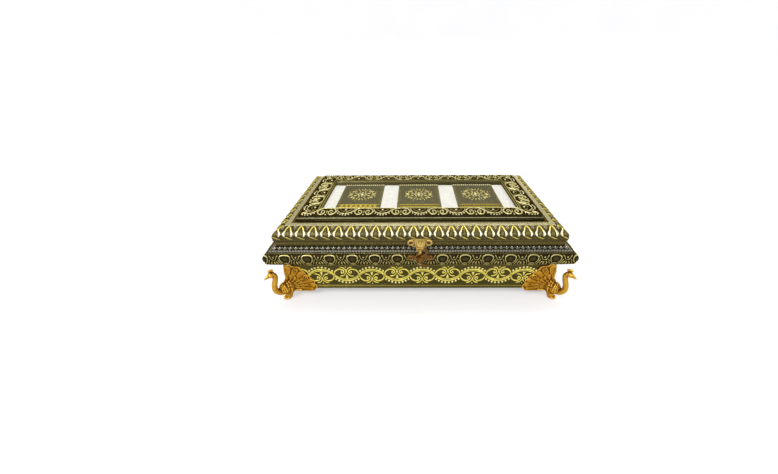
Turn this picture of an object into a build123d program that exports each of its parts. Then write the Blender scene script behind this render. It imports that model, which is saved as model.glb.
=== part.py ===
"""Jewellery box: a wooden tray and lid clad in embossed sheet metal, on four cast peacock feet.

Millimetres. The origin is on the floor under the middle of the box, +X is the box's length, the
front with the clasp faces -Y, and +Z is up.
"""

import os
from math import sqrt

from build123d import *

# ---- driving dimensions ----
LEG_HEIGHT = 10.0  # floor to the underside of the walls
SHEET = 0.7  # thickness of the embossed cladding
BOARD = 9.0  # thickness of the tray's wooden walls
JOINT_GAP = 0.3  # between the lid and the rim
MITRE_GAP = 0.1  # between neighbouring strips of cladding

WALL_WIDTH, WALL_DEPTH, WALL_HEIGHT = 280.7, 148.0, 37.3  # over the cladding
RIM_WIDTH, RIM_DEPTH = 305.0, 173.0  # over the widest line of the rim moulding
LID_WIDTH, LID_DEPTH = 286.0, 154.0  # over the widest line of the lid moulding

WALL_BOTTOM = LEG_HEIGHT
RIM_BOTTOM = WALL_BOTTOM + WALL_HEIGHT
RIM_TOP = RIM_BOTTOM + 19.2
LID_BOTTOM = RIM_TOP + JOINT_GAP
LEDGE_TOP = LID_BOTTOM + 18.0  # flat ledge of the lid round the raised frame
FRAME_TOP = LEDGE_TOP + 5.1

# rim moulding, as distances in from the rim's outer line and heights over its underside
RIM_INNER = (RIM_WIDTH - WALL_WIDTH) / 2 + SHEET + BOARD
RIM_FOOT_IN = 6.5  # where the round under-edge starts
RIM_ROUND_TOP = 9.7
RIM_ROUND_RADIUS = 10.49
RIM_BEAD_BOTTOM = 12.7
RIM_BEAD_RADIUS = 2.4
RIM_SLOPE_IN = (RIM_WIDTH - LID_WIDTH) / 2

# lid moulding, as distances in from the lid's outer line and heights over its underside
LID_INNER = 26.0
BAND_IN = 0.8  # the ribbed lower band stands back from the bulge by this much
BAND_TOP = 5.6
BULGE_BOTTOM = 6.4
BULGE_TOP = 10.2
BULGE_IN = 15.0
LID_BOARD = 5.0

# raised frame, measured from the same outer line as the lid moulding
FRAME_OUTER = 18.65
FRAME_REBATE = LID_INNER
FRAME_STEP_IN = 20.85
FRAME_TOP_INNER = 37.95
FRAME_INNER = 39.4
FRAME_LOWER_STEP, FRAME_UPPER_STEP = 2.2, 3.9  # heights over the ledge

# recessed panel
PANEL_SHEET_TOP = LEDGE_TOP + 1.4
TILE_THICKNESS = 0.8
TILE_WIDTH = 48.0
TILE_SPACING = 66.0
PANEL_EDGE = 27.5  # the white sheet's edge, in from the lid's outer line

# lining and bottom
BOTTOM_BOARD = 6.0
BOTTOM_SETBACK = 2.0  # the bottom board sits this far up inside the walls
LINING = 1.6
FLOOR_PAD = 3.0
LID_PAD = 2.4
LID_LINING = 1.5

# hinges
HINGE_X = 88.0
HINGE_LENGTH = 32.0
HINGE_LEAF = 1.2
HINGE_LEAF_FRONT = 66.0
KNUCKLE_RADIUS = 2.2
KNUCKLE_HALF = 5.5  # half the length of the middle knuckle's gap
HINGE_PIN_RADIUS = 1.0
RUNNING_CLEARANCE = 0.05
HINGE_Y = LID_DEPTH / 2 + 2.6
HINGE_Z = RIM_TOP + JOINT_GAP / 2

# clasp
LATCH_FACE = -RIM_DEPTH / 2
LATCH_PLATE = 1.2
PIVOT_Z = RIM_BOTTOM + 13.5
PIVOT_RADIUS = 1.2
HOOK_THICKNESS = 1.8
HOOK_BACK = LATCH_FACE - 2.1
HOOK_REACH = 8.6  # from the pivot to the keeper's stud when latched
HOOK_REST_TURN = 18.0  # the hook stands this far off the stud
STUD_RADIUS = 1.4
KEEPER_PLATE = 1.2
KEEPER_Z = LID_BOTTOM + 5.0

# feet
WING_THICKNESS = 2.4
LUG_DEPTH = 12.0
LUG_THICKNESS = 2.0
FOOT_PIN_RADIUS = 0.8
FOOT_PINS = ((10.0, 27.0), (22.0, 17.0))  # along the wall from its corner, height over the floor

# inward direction of each side of the box
SIDES = {"front": (0, 1), "back": (0, -1), "left": (1, 0), "right": (-1, 0)}

os.makedirs("parts", exist_ok=True)


def write(part, name):
    """Label a finished piece and write its STEP file."""
    part.label = name
    export_step(part, f"parts/{name}.step")


def without(part, *cutters):
    """A part with the room for its fasteners and fittings taken out."""
    with BuildPart() as cut:
        add(part)
        for cutter in cutters:
            add(cutter, mode=Mode.SUBTRACT)
    return cut.part


def mitred_strip(section, width, depth, side, gap=0.0):
    """A strip with the given section along one side, mitred at both ends.

    The section's x is the distance in from the outer line and its y is the height.
    """
    inward = Vector(*SIDES[side], 0)
    along = inward.cross(Vector(0, 0, 1))
    run, span = (width, depth) if side in ("front", "back") else (depth, width)
    middle = inward * (-span / 2)
    with BuildPart() as strip:
        with BuildSketch(Plane(origin=middle, x_dir=inward, z_dir=along)):
            add(section)
        extrude(amount=run / 2, both=True)
        for end in (-1, 1):
            corner = middle + along * (end * (run / 2 - gap / 2))
            split(bisect_by=Plane(origin=corner, z_dir=(along * end + inward) * -1), keep=Keep.TOP)
    return strip.part


def clad(section, width, depth):
    """The four mitred strips of cladding round the box, as separate solids."""
    strips = [mitred_strip(section, width, depth, side, MITRE_GAP) for side in SIDES]
    with BuildPart() as cladding:
        for strip in strips:
            add(strip)
    return cladding.part


def skin(outline):
    """The section of the sheet over a moulding, from the moulding's outline function."""
    outer, wood = outline(0.0), outline(SHEET)
    with BuildSketch() as section:
        add(outer)
        add(wood, mode=Mode.SUBTRACT)
    return section.sketch


def rim_outline(inset):
    """Rim moulding: round under-edge, upright face, bead and a slope up to the lid."""
    round_radius = RIM_ROUND_RADIUS - inset
    foot_in = RIM_ROUND_RADIUS - sqrt(round_radius**2 - RIM_ROUND_TOP**2)
    bead_radius = RIM_BEAD_RADIUS - inset
    bead_top = RIM_BOTTOM + RIM_BEAD_BOTTOM + bead_radius
    with BuildSketch() as section:
        with BuildLine():
            Polyline((inset, RIM_BOTTOM + RIM_ROUND_TOP), (inset, RIM_BOTTOM + RIM_BEAD_BOTTOM))
            ThreePointArc(
                (inset, RIM_BOTTOM + RIM_BEAD_BOTTOM),
                (
                    RIM_BEAD_RADIUS - bead_radius * sqrt(0.5),
                    RIM_BOTTOM + RIM_BEAD_BOTTOM + bead_radius * sqrt(0.5),
                ),
                (RIM_BEAD_RADIUS, bead_top),
            )
            Polyline(
                (RIM_BEAD_RADIUS, bead_top),
                (RIM_SLOPE_IN, RIM_TOP - inset),
                (RIM_INNER, RIM_TOP - inset),
                (RIM_INNER, RIM_BOTTOM),
                (foot_in, RIM_BOTTOM),
            )
            RadiusArc(
                (foot_in, RIM_BOTTOM), (inset, RIM_BOTTOM + RIM_ROUND_TOP), round_radius
            )
        make_face()
    return section.sketch


def lid_outline(inset):
    """Lid moulding: ribbed band, bulging leaf moulding and a flat ledge."""
    with BuildSketch() as section:
        with BuildLine():
            Polyline(
                (BULGE_IN, LEDGE_TOP - inset),
                (LID_INNER, LEDGE_TOP - inset),
                (LID_INNER, LID_BOTTOM),
                (BAND_IN + inset, LID_BOTTOM),
                (BAND_IN + inset, LID_BOTTOM + BAND_TOP),
                (inset, LID_BOTTOM + BULGE_BOTTOM),
                (inset, LID_BOTTOM + BULGE_TOP),
            )
            EllipticalCenterArc(
                center=(BULGE_IN, LID_BOTTOM + BULGE_TOP),
                x_radius=BULGE_IN - inset,
                y_radius=LEDGE_TOP - LID_BOTTOM - BULGE_TOP - inset,
                start_angle=90,
                arc_size=90,
            )
        make_face()
    return section.sketch


def frame_outline(inset):
    """Raised frame: a stepped outer side, a flat top and a rebate for the panel underneath."""
    with BuildSketch() as section:
        with BuildLine():
            Polyline(
                (FRAME_OUTER + inset, LEDGE_TOP),
                (FRAME_OUTER + inset, LEDGE_TOP + FRAME_LOWER_STEP),
                (FRAME_STEP_IN + inset, LEDGE_TOP + FRAME_UPPER_STEP),
                (FRAME_STEP_IN + inset, FRAME_TOP - inset),
                (FRAME_TOP_INNER - inset, FRAME_TOP - inset),
                (FRAME_INNER - inset, FRAME_TOP - 1.6),
                (FRAME_INNER - inset, PANEL_SHEET_TOP + 0.1),
                (FRAME_REBATE, PANEL_SHEET_TOP + 0.1),
                (FRAME_REBATE, LEDGE_TOP),
                close=True,
            )
        make_face()
    return section.sketch


def slab(width, depth, bottom, height, rounding=0.0):
    """A flat board or pad centred on the box's axis."""
    with BuildPart() as board:
        with BuildSketch(Plane.XY.offset(bottom)):
            Rectangle(width, depth)
        extrude(amount=height)
        if rounding:
            fillet(board.edges().group_by(Axis.Z)[-1], rounding)
    return board.part


# ---- fasteners, made first so that the wood can be cut for them ----
CORNER_X, CORNER_Y = WALL_WIDTH / 2, WALL_DEPTH / 2

with BuildPart() as foot_pins:
    for sign_x in (-1, 1):
        for sign_y in (-1, 1):
            for along, height in FOOT_PINS:
                front_spot = (sign_x * (CORNER_X - along), sign_y * (CORNER_Y - 6.5), height)
                side_spot = (sign_x * (CORNER_X - 6.5), sign_y * (CORNER_Y - along), height)
                with BuildSketch(Plane(origin=front_spot, z_dir=(0, sign_y, 0))):
                    Circle(FOOT_PIN_RADIUS)
                extrude(amount=6.5 + WING_THICKNESS + 0.3)
                with BuildSketch(Plane(origin=side_spot, z_dir=(sign_x, 0, 0))):
                    Circle(FOOT_PIN_RADIUS)
                extrude(amount=6.5 + WING_THICKNESS + 0.3)
write(foot_pins.part, "foot_pins")


def hinge_screws(head_z, point_z):
    """Three countersunk screws for each hinge leaf; the point is where the tip ends."""
    direction = 1 if point_z > head_z else -1
    with BuildPart() as screws:
        for hinge_x in (-HINGE_X, HINGE_X):
            for offset in (-11.0, 0.0, 11.0):
                spot = (hinge_x + offset, HINGE_LEAF_FRONT + 4.0, head_z)
                with BuildSketch(Plane(origin=spot, z_dir=(0, 0, direction))):
                    Circle(0.9)
                extrude(amount=abs(point_z - head_z))
                with BuildSketch(Plane(origin=spot, z_dir=(0, 0, direction))):
                    Circle(2.0)
                extrude(amount=1.0, taper=45)
    return screws.part


rim_screws = hinge_screws(RIM_TOP, RIM_TOP - 9.0)
lid_screws = hinge_screws(LID_BOTTOM, LID_BOTTOM + 9.0)
write(rim_screws, "hinge_rim_screws")
write(lid_screws, "hinge_lid_screws")

LATCH_PIN_X = 9.2
KEEPER_PIN_X = 8.6

with BuildPart() as latch_pins:
    with BuildSketch(Plane.XZ.offset(-LATCH_FACE + LATCH_PLATE)):
        with Locations((-LATCH_PIN_X, PIVOT_Z), (LATCH_PIN_X, PIVOT_Z)):
            Circle(0.9)
    extrude(amount=-9.0)
    with BuildSketch(Plane.XZ.offset(-LATCH_FACE + LATCH_PLATE)):
        with Locations((-LATCH_PIN_X, PIVOT_Z), (LATCH_PIN_X, PIVOT_Z)):
            Circle(1.6)
    extrude(amount=0.5)
write(latch_pins.part, "latch_pins")

LID_FACE = -LID_DEPTH / 2

with BuildPart() as keeper_pins:
    with BuildSketch(Plane.XZ.offset(-LID_FACE + KEEPER_PLATE)):
        with Locations((-KEEPER_PIN_X, KEEPER_Z), (KEEPER_PIN_X, KEEPER_Z)):
            Circle(0.9)
    extrude(amount=-9.0)
    with BuildSketch(Plane.XZ.offset(-LID_FACE + KEEPER_PLATE)):
        with Locations((-KEEPER_PIN_X, KEEPER_Z), (KEEPER_PIN_X, KEEPER_Z)):
            Circle(1.6)
    extrude(amount=0.5)
write(keeper_pins.part, "keeper_pins")

with BuildPart() as pivot_rivet:
    with BuildSketch(Plane.XZ.offset(-HOOK_BACK + HOOK_THICKNESS + 0.1)):
        with Locations((0, PIVOT_Z)):
            Circle(2.6)
    extrude(amount=0.8)
    with BuildSketch(Plane.XZ.offset(-HOOK_BACK + HOOK_THICKNESS + 0.1)):
        with Locations((0, PIVOT_Z)):
            Circle(PIVOT_RADIUS)
    extrude(amount=-10.0)
    fillet(pivot_rivet.edges().group_by(Axis.Y)[0], 0.5)
write(pivot_rivet.part, "pivot_rivet")

# ---- hinges ----


def rod_along_x(middle_x, length, radius):
    """A rod on the hinge axis."""
    start = (middle_x - length / 2, HINGE_Y, HINGE_Z)
    with BuildPart() as rod:
        with BuildSketch(Plane(origin=start, z_dir=(1, 0, 0))):
            Circle(radius)
        extrude(amount=length)
    return rod.part


def leaf_plate(hinge_x, bottom):
    """The flat of one hinge leaf, from its front edge to the hinge axis."""
    with BuildPart() as plate:
        with BuildSketch(Plane.XY.offset(bottom)):
            with Locations((hinge_x, (HINGE_LEAF_FRONT + HINGE_Y) / 2)):
                Rectangle(HINGE_LENGTH, HINGE_Y - HINGE_LEAF_FRONT)
        extrude(amount=HINGE_LEAF)
    return plate.part


def rim_leaf(hinge_x):
    """The fixed leaf: a plate let into the rim, with the two outer knuckles."""
    outer_length = HINGE_LENGTH / 2 - KNUCKLE_HALF
    outer_middle = (HINGE_LENGTH / 2 + KNUCKLE_HALF) / 2
    knuckles = [
        rod_along_x(hinge_x + side * outer_middle, outer_length, KNUCKLE_RADIUS) for side in (-1, 1)
    ]
    plate = leaf_plate(hinge_x, RIM_TOP - HINGE_LEAF)
    pin_room = rod_along_x(hinge_x, HINGE_LENGTH, HINGE_PIN_RADIUS)
    with BuildPart() as leaf:
        add(plate)
        with BuildSketch(Plane.XY.offset(RIM_TOP - HINGE_LEAF)):
            with Locations((hinge_x, HINGE_Y)):
                Rectangle(2 * KNUCKLE_HALF, 2 * (KNUCKLE_RADIUS + 0.4))
        extrude(amount=HINGE_LEAF, mode=Mode.SUBTRACT)
        for knuckle in knuckles:
            add(knuckle)
        add(pin_room, mode=Mode.SUBTRACT)
        add(rim_screws, mode=Mode.SUBTRACT)
    return leaf.part


def lid_leaf(hinge_x):
    """The moving leaf: a plate let into the lid, with the middle knuckle."""
    middle_length = 2 * (KNUCKLE_HALF - 0.2)
    side_width = HINGE_LENGTH / 2 - middle_length / 2
    side_middle = (HINGE_LENGTH / 2 + middle_length / 2) / 2
    knuckle = rod_along_x(hinge_x, middle_length, KNUCKLE_RADIUS)
    plate = leaf_plate(hinge_x, LID_BOTTOM)
    pin_room = rod_along_x(hinge_x, HINGE_LENGTH, HINGE_PIN_RADIUS + RUNNING_CLEARANCE)
    with BuildPart() as leaf:
        add(plate)
        with BuildSketch(Plane.XY.offset(LID_BOTTOM)):
            with Locations((hinge_x - side_middle, HINGE_Y), (hinge_x + side_middle, HINGE_Y)):
                Rectangle(side_width, 2 * (KNUCKLE_RADIUS + 0.4))
        extrude(amount=HINGE_LEAF, mode=Mode.SUBTRACT)
        add(knuckle)
        add(pin_room, mode=Mode.SUBTRACT)
        add(lid_screws, mode=Mode.SUBTRACT)
    return leaf.part


def hinge_pin(hinge_x):
    """The pin, with a domed head at each end."""
    shaft = rod_along_x(hinge_x, HINGE_LENGTH, HINGE_PIN_RADIUS)
    heads = [rod_along_x(hinge_x + side * (HINGE_LENGTH / 2 + 0.5), 1.0, 1.6) for side in (-1, 1)]
    with BuildPart() as pin:
        add(shaft)
        for head in heads:
            add(head)
    return pin.part


hinge_room = [rod_along_x(x, HINGE_LENGTH + 2.6, KNUCKLE_RADIUS + 0.5) for x in (-HINGE_X, HINGE_X)]
rim_leaf_room = [leaf_plate(x, RIM_TOP - HINGE_LEAF) for x in (-HINGE_X, HINGE_X)]
lid_leaf_room = [leaf_plate(x, LID_BOTTOM) for x in (-HINGE_X, HINGE_X)]
for place, hinge_x in (("left", -HINGE_X), ("right", HINGE_X)):
    write(rim_leaf(hinge_x), f"hinge_{place}_rim_leaf")
    write(lid_leaf(hinge_x), f"hinge_{place}_lid_leaf")
    write(hinge_pin(hinge_x), f"hinge_{place}_pin")

# ---- tray ----
board_outer_width = WALL_WIDTH - 2 * SHEET
board_outer_depth = WALL_DEPTH - 2 * SHEET
cavity_width = board_outer_width - 2 * BOARD
cavity_depth = board_outer_depth - 2 * BOARD
for side in SIDES:
    across = side in ("front", "back")
    board_length = board_outer_width if across else cavity_depth
    inward_x, inward_y = SIDES[side]
    board_middle = (
        -inward_x * (board_outer_width - BOARD) / 2,
        -inward_y * (board_outer_depth - BOARD) / 2,
    )
    with BuildPart() as wall_board:
        with BuildSketch(Plane.XY.offset(WALL_BOTTOM)):
            with Locations(board_middle):
                Rectangle(board_length if across else BOARD, BOARD if across else board_length)
        extrude(amount=WALL_HEIGHT)
    write(without(wall_board.part, foot_pins.part), f"tray_{side}_board")

    lining_length = cavity_width if across else cavity_depth - 2 * LINING
    lining_middle = (
        -inward_x * (cavity_width - LINING) / 2,
        -inward_y * (cavity_depth - LINING) / 2,
    )
    lining_bottom = WALL_BOTTOM + BOTTOM_SETBACK + BOTTOM_BOARD
    with BuildPart() as lining_panel:
        with BuildSketch(Plane.XY.offset(lining_bottom)):
            with Locations(lining_middle):
                Rectangle(lining_length if across else LINING, LINING if across else lining_length)
        extrude(amount=RIM_TOP - SHEET - lining_bottom)
    write(lining_panel.part, f"lining_{side}")

write(
    slab(cavity_width, cavity_depth, WALL_BOTTOM + BOTTOM_SETBACK, BOTTOM_BOARD), "bottom_board"
)
write(
    slab(cavity_width - 2 * LINING, cavity_depth - 2 * LINING, lining_bottom, FLOOR_PAD, 1.0),
    "floor_pad",
)

with BuildSketch() as wall_skin:
    with Locations((SHEET / 2, WALL_BOTTOM + WALL_HEIGHT / 2)):
        Rectangle(SHEET, WALL_HEIGHT)
wall_cladding = without(clad(wall_skin.sketch, WALL_WIDTH, WALL_DEPTH), foot_pins.part)
write(wall_cladding, "wall_cladding")

# ---- rim ----
rim_fittings = [rim_screws, latch_pins.part, pivot_rivet.part, *hinge_room, *rim_leaf_room]
for side in SIDES:
    moulding = mitred_strip(rim_outline(SHEET), RIM_WIDTH, RIM_DEPTH, side)
    write(without(moulding, *rim_fittings), f"rim_moulding_{side}")
rim_cladding = without(clad(skin(rim_outline), RIM_WIDTH, RIM_DEPTH), *rim_fittings)
write(rim_cladding, "rim_cladding")

# ---- lid ----
lid_fittings = [lid_screws, keeper_pins.part, *lid_leaf_room]
for side in SIDES:
    moulding = mitred_strip(lid_outline(SHEET), LID_WIDTH, LID_DEPTH, side)
    write(without(moulding, *lid_fittings), f"lid_moulding_{side}")
    rail = mitred_strip(frame_outline(SHEET), LID_WIDTH, LID_DEPTH, side)
    write(rail, f"frame_rail_{side}")
lid_cladding = without(clad(skin(lid_outline), LID_WIDTH, LID_DEPTH), *lid_fittings)
write(lid_cladding, "lid_cladding")
write(clad(skin(frame_outline), LID_WIDTH, LID_DEPTH), "frame_cladding")

lid_board_top = PANEL_SHEET_TOP - SHEET
lid_board_bottom = lid_board_top - LID_BOARD
lid_cavity_width = LID_WIDTH - 2 * LID_INNER
lid_cavity_depth = LID_DEPTH - 2 * LID_INNER
write(slab(lid_cavity_width, lid_cavity_depth, lid_board_bottom, LID_BOARD), "lid_board")
write(
    slab(LID_WIDTH - 2 * PANEL_EDGE, LID_DEPTH - 2 * PANEL_EDGE, lid_board_top, SHEET),
    "panel_sheet",
)
tile_depth = LID_DEPTH - 2 * FRAME_INNER - 0.4
for place, tile_x in (("left", -TILE_SPACING), ("centre", 0.0), ("right", TILE_SPACING)):
    with BuildPart() as tile:
        with BuildSketch(Plane.XY.offset(PANEL_SHEET_TOP)):
            with Locations((tile_x, 0)):
                Rectangle(TILE_WIDTH, tile_depth)
        extrude(amount=TILE_THICKNESS)
    write(tile.part, f"rosette_tile_{place}")

lid_pad = slab(
    lid_cavity_width - 2 * LID_LINING,
    lid_cavity_depth - 2 * LID_LINING,
    lid_board_bottom - LID_PAD,
    LID_PAD,
)
write(lid_pad, "lid_pad")
with BuildPart() as lid_edge_lining:
    with BuildSketch(Plane.XY.offset(LID_BOTTOM + 0.7)):
        Rectangle(lid_cavity_width, lid_cavity_depth)
        Rectangle(
            lid_cavity_width - 2 * LID_LINING,
            lid_cavity_depth - 2 * LID_LINING,
            mode=Mode.SUBTRACT,
        )
    extrude(amount=lid_board_bottom - LID_BOTTOM - 0.7)
write(lid_edge_lining.part, "lid_edge_lining")

# ---- clasp ----
latch_plane = Plane.XZ.offset(-LATCH_FACE)
with BuildPart() as latch_plate:
    with BuildSketch(latch_plane):
        with Locations((0, PIVOT_Z)):
            Rectangle(2 * LATCH_PIN_X, 4.4)
            Circle(5.2)
        with Locations((-LATCH_PIN_X, PIVOT_Z), (LATCH_PIN_X, PIVOT_Z)):
            Circle(3.2)
    extrude(amount=LATCH_PLATE)
    with BuildSketch(latch_plane):
        with Locations((0, PIVOT_Z)):
            Circle(3.2)
    extrude(amount=-HOOK_BACK + LATCH_FACE - 0.1)
    with BuildSketch(latch_plane):
        with Locations((-LATCH_PIN_X, PIVOT_Z), (LATCH_PIN_X, PIVOT_Z)):
            Circle(0.9)
        with Locations((0, PIVOT_Z)):
            Circle(PIVOT_RADIUS)
    extrude(amount=4.0, mode=Mode.SUBTRACT)
write(latch_plate.part, "latch_plate")

hook_plane = Plane(
    origin=(0, HOOK_BACK, PIVOT_Z),
    x_dir=Vector(1, 0, 0).rotate(Axis.Y, HOOK_REST_TURN),
    z_dir=(0, -1, 0),
)
CLAW_RADIUS, CLAW_HALF = 3.4, 1.2
with BuildPart() as swing_hook:
    with BuildSketch(hook_plane):
        with BuildLine() as claw_line:
            CenterArc((0, HOOK_REACH), CLAW_RADIUS, -75, 175)
        trace(claw_line.line, line_width=2 * CLAW_HALF)
        with BuildLine() as shank_line:
            Line((0, 0), claw_line.line @ 0)
        trace(shank_line.line, line_width=2 * CLAW_HALF)
        with BuildLine() as tail_line:
            RadiusArc((0, 0), (6.9, -6.0), -9.0)
        trace(tail_line.line, line_width=2.2)
        with Locations((6.9, -6.0)):
            Circle(1.9)
        Circle(3.2)
    extrude(amount=HOOK_THICKNESS)
    with BuildSketch(hook_plane):
        Circle(PIVOT_RADIUS + RUNNING_CLEARANCE)
    extrude(amount=HOOK_THICKNESS, mode=Mode.SUBTRACT)
write(swing_hook.part, "swing_hook")

STUD_Z = PIVOT_Z + HOOK_REACH
TONGUE_FRONT = -86.9
with BuildPart() as keeper_plate:
    with BuildSketch(Plane.XZ.offset(-LID_FACE)):
        with Locations((0, KEEPER_Z)):
            Rectangle(2 * KEEPER_PIN_X, 9.4)
        with Locations((-KEEPER_PIN_X, KEEPER_Z), (KEEPER_PIN_X, KEEPER_Z)):
            Circle(3.8)
    extrude(amount=KEEPER_PLATE)
    with BuildSketch(Plane.XZ.offset(-LID_FACE)):
        with Locations((-KEEPER_PIN_X, KEEPER_Z), (KEEPER_PIN_X, KEEPER_Z)):
            Circle(0.9)
    extrude(amount=KEEPER_PLATE, mode=Mode.SUBTRACT)
    # the tongue: a sloping hood, wide where it leaves the plate and narrow at its lip
    with BuildSketch(Plane.YZ):
        with BuildLine():
            Polyline(
                (LID_FACE - KEEPER_PLATE, KEEPER_Z + 4.7),
                (TONGUE_FRONT, STUD_Z + 1.2),
                (TONGUE_FRONT, STUD_Z - 2.0),
                (TONGUE_FRONT + 1.2, STUD_Z - 2.0),
                (TONGUE_FRONT + 1.2, STUD_Z + 0.6),
                (LID_FACE - KEEPER_PLATE, KEEPER_Z + 3.2),
                close=True,
            )
        make_face()
    extrude(amount=6.0, both=True)
    with BuildSketch(Plane.XY.offset(STUD_Z - 3.0)):
        for side in (-1, 1):
            with BuildLine():
                Polyline(
                    (side * 6.0, LID_FACE - KEEPER_PLATE),
                    (side * 3.6, TONGUE_FRONT),
                    (side * 7.0, TONGUE_FRONT),
                    (side * 7.0, LID_FACE - KEEPER_PLATE),
                    close=True,
                )
            make_face()
    extrude(amount=12.0, mode=Mode.SUBTRACT)
    with BuildSketch(Plane.XZ.offset(-TONGUE_FRONT)):
        with Locations((0, STUD_Z)):
            Circle(STUD_RADIUS)
    extrude(amount=4.3)
write(keeper_plate.part, "keeper_plate")

# ---- peacock feet ----
corner = Vector(-CORNER_X, -CORNER_Y, 0)
outward = Vector(-1, -1, 0).normalized()
bird_plane = Plane(origin=corner, x_dir=outward, z_dir=outward.cross(Vector(0, 0, 1)))
front_wing_plane = Plane(origin=corner, x_dir=(1, 0, 0), z_dir=(0, -1, 0))
# the bird stands in the corner's diagonal plane: distances out from the corner, heights, radii
LEG_FOOT, LEG_FOOT_RADIUS = 5.0, 4.2
LEG_TOP, LEG_TOP_HEIGHT, LEG_TOP_RADIUS = 0.8, 10.5, 5.0
BREAST_OUT, BREAST_HEIGHT, BREAST_RADIUS = 4.4, 15.8, 7.0
NECK_RADIUS = 3.1
HEAD_OUT, HEAD_HEIGHT, HEAD_RADIUS = 14.8, 37.0, 3.5
BEAK_OUT, BEAK_HEIGHT = 22.8, 33.4
CREST_OUT, CREST_HEIGHT, CREST_RADIUS = 12.8, 39.6, 2.8


def on_diagonal(out, height):
    """A point in the bird's plane."""
    return corner + outward * out + Vector(0, 0, height)


with BuildPart() as foot:
    # feathered wing flat on the front wall, its upper edge in scallops
    with BuildSketch(front_wing_plane):
        with BuildLine():
            Polyline((23.6, 7.2), (-WING_THICKNESS, 7.2), (-WING_THICKNESS, 34.0))
            Line((-WING_THICKNESS, 34.0), (-0.4, 42.5))
            ThreePointArc((-0.4, 42.5), (4.2, 43.0), (8.0, 41.2))
            ThreePointArc((8.0, 41.2), (13.2, 40.6), (16.2, 37.0))
            ThreePointArc((16.2, 37.0), (19.6, 35.0), (20.0, 31.2))
            ThreePointArc((20.0, 31.2), (24.6, 30.6), (25.6, 26.6))
            ThreePointArc((25.6, 26.6), (28.6, 24.6), (27.6, 20.4))
            ThreePointArc((27.6, 20.4), (30.4, 15.6), (28.6, 11.4))
            ThreePointArc((28.6, 11.4), (27.0, 8.2), (23.6, 7.2))
        make_face()
    extrude(amount=WING_THICKNESS)
    # lug under the corner, which carries the box
    with BuildSketch(Plane.XY.offset(WALL_BOTTOM - LUG_THICKNESS)):
        with Locations((-CORNER_X + LUG_DEPTH / 2, -CORNER_Y + LUG_DEPTH / 2)):
            Rectangle(LUG_DEPTH + 4.0, LUG_DEPTH + 4.0)
    extrude(amount=LUG_THICKNESS)
    mirror(about=Plane(origin=corner, z_dir=(1, -1, 0)))
    # leg, leaning out from the corner down to the floor
    with BuildSketch(Plane(origin=on_diagonal(LEG_FOOT, 0))):
        Circle(LEG_FOOT_RADIUS)
    with BuildSketch(Plane(origin=on_diagonal(LEG_TOP, LEG_TOP_HEIGHT))):
        Circle(LEG_TOP_RADIUS)
    loft()
    with Locations(on_diagonal(BREAST_OUT, BREAST_HEIGHT)):
        Sphere(BREAST_RADIUS)
    # neck, out along the floor side of the breast and then up in a shallow S
    with BuildLine(bird_plane) as neck_line:
        chest = Line((BREAST_OUT, 11.2), (8.6, 11.2))
        bend = TangentArc(chest @ 1, (15.4, 18.0), tangent=chest % 1)
        rise = TangentArc(bend @ 1, (14.0, 27.0), tangent=bend % 1)
        TangentArc(rise @ 1, (13.9, HEAD_HEIGHT), tangent=rise % 1)
    with BuildSketch(Plane(origin=neck_line.line @ 0, z_dir=neck_line.line % 0)):
        Circle(NECK_RADIUS)
    sweep(path=neck_line.line)
    with Locations(on_diagonal(HEAD_OUT, HEAD_HEIGHT)):
        Sphere(HEAD_RADIUS)
    # beak, a flat wedge curving down
    with BuildSketch(bird_plane):
        with BuildLine():
            ThreePointArc((HEAD_OUT, HEAD_HEIGHT + 2.4), (19.0, 37.2), (BEAK_OUT, BEAK_HEIGHT))
            ThreePointArc((BEAK_OUT, BEAK_HEIGHT), (18.8, 34.6), (HEAD_OUT, HEAD_HEIGHT - 2.8))
            Line((HEAD_OUT, HEAD_HEIGHT - 2.8), (HEAD_OUT, HEAD_HEIGHT + 2.4))
        make_face()
    extrude(amount=1.0, both=True)
    # crest fan over the nape
    with BuildSketch(bird_plane):
        with Locations((CREST_OUT, CREST_HEIGHT)):
            Circle(CREST_RADIUS)
    extrude(amount=1.0, both=True)
    # the tray's corner stands in the angle of the wings
    with BuildSketch(Plane.XY.offset(WALL_BOTTOM)):
        with Locations((-CORNER_X + 30, -CORNER_Y + 30)):
            Rectangle(60, 60)
    extrude(amount=WALL_HEIGHT, mode=Mode.SUBTRACT)

for end in ("front", "back"):
    for place in ("left", "right"):
        casting = foot.part
        if end == "back":
            casting = mirror(casting, about=Plane.XZ, mode=Mode.PRIVATE)
        if place == "right":
            casting = mirror(casting, about=Plane.YZ, mode=Mode.PRIVATE)
        write(without(casting, foot_pins.part), f"peacock_foot_{end}_{place}")
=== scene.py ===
"""Looks for the metal-clad jewellery box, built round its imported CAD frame.

The scene is in metres. Ornament is drawn in millimetres, as (along, girth, height) on a moulding
or (x, y, height) on the panel, and is turned into metres when its mesh is made.
"""

import math

import bmesh
import bpy
import numpy as np
from mathutils import Matrix, Vector, noise


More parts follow.
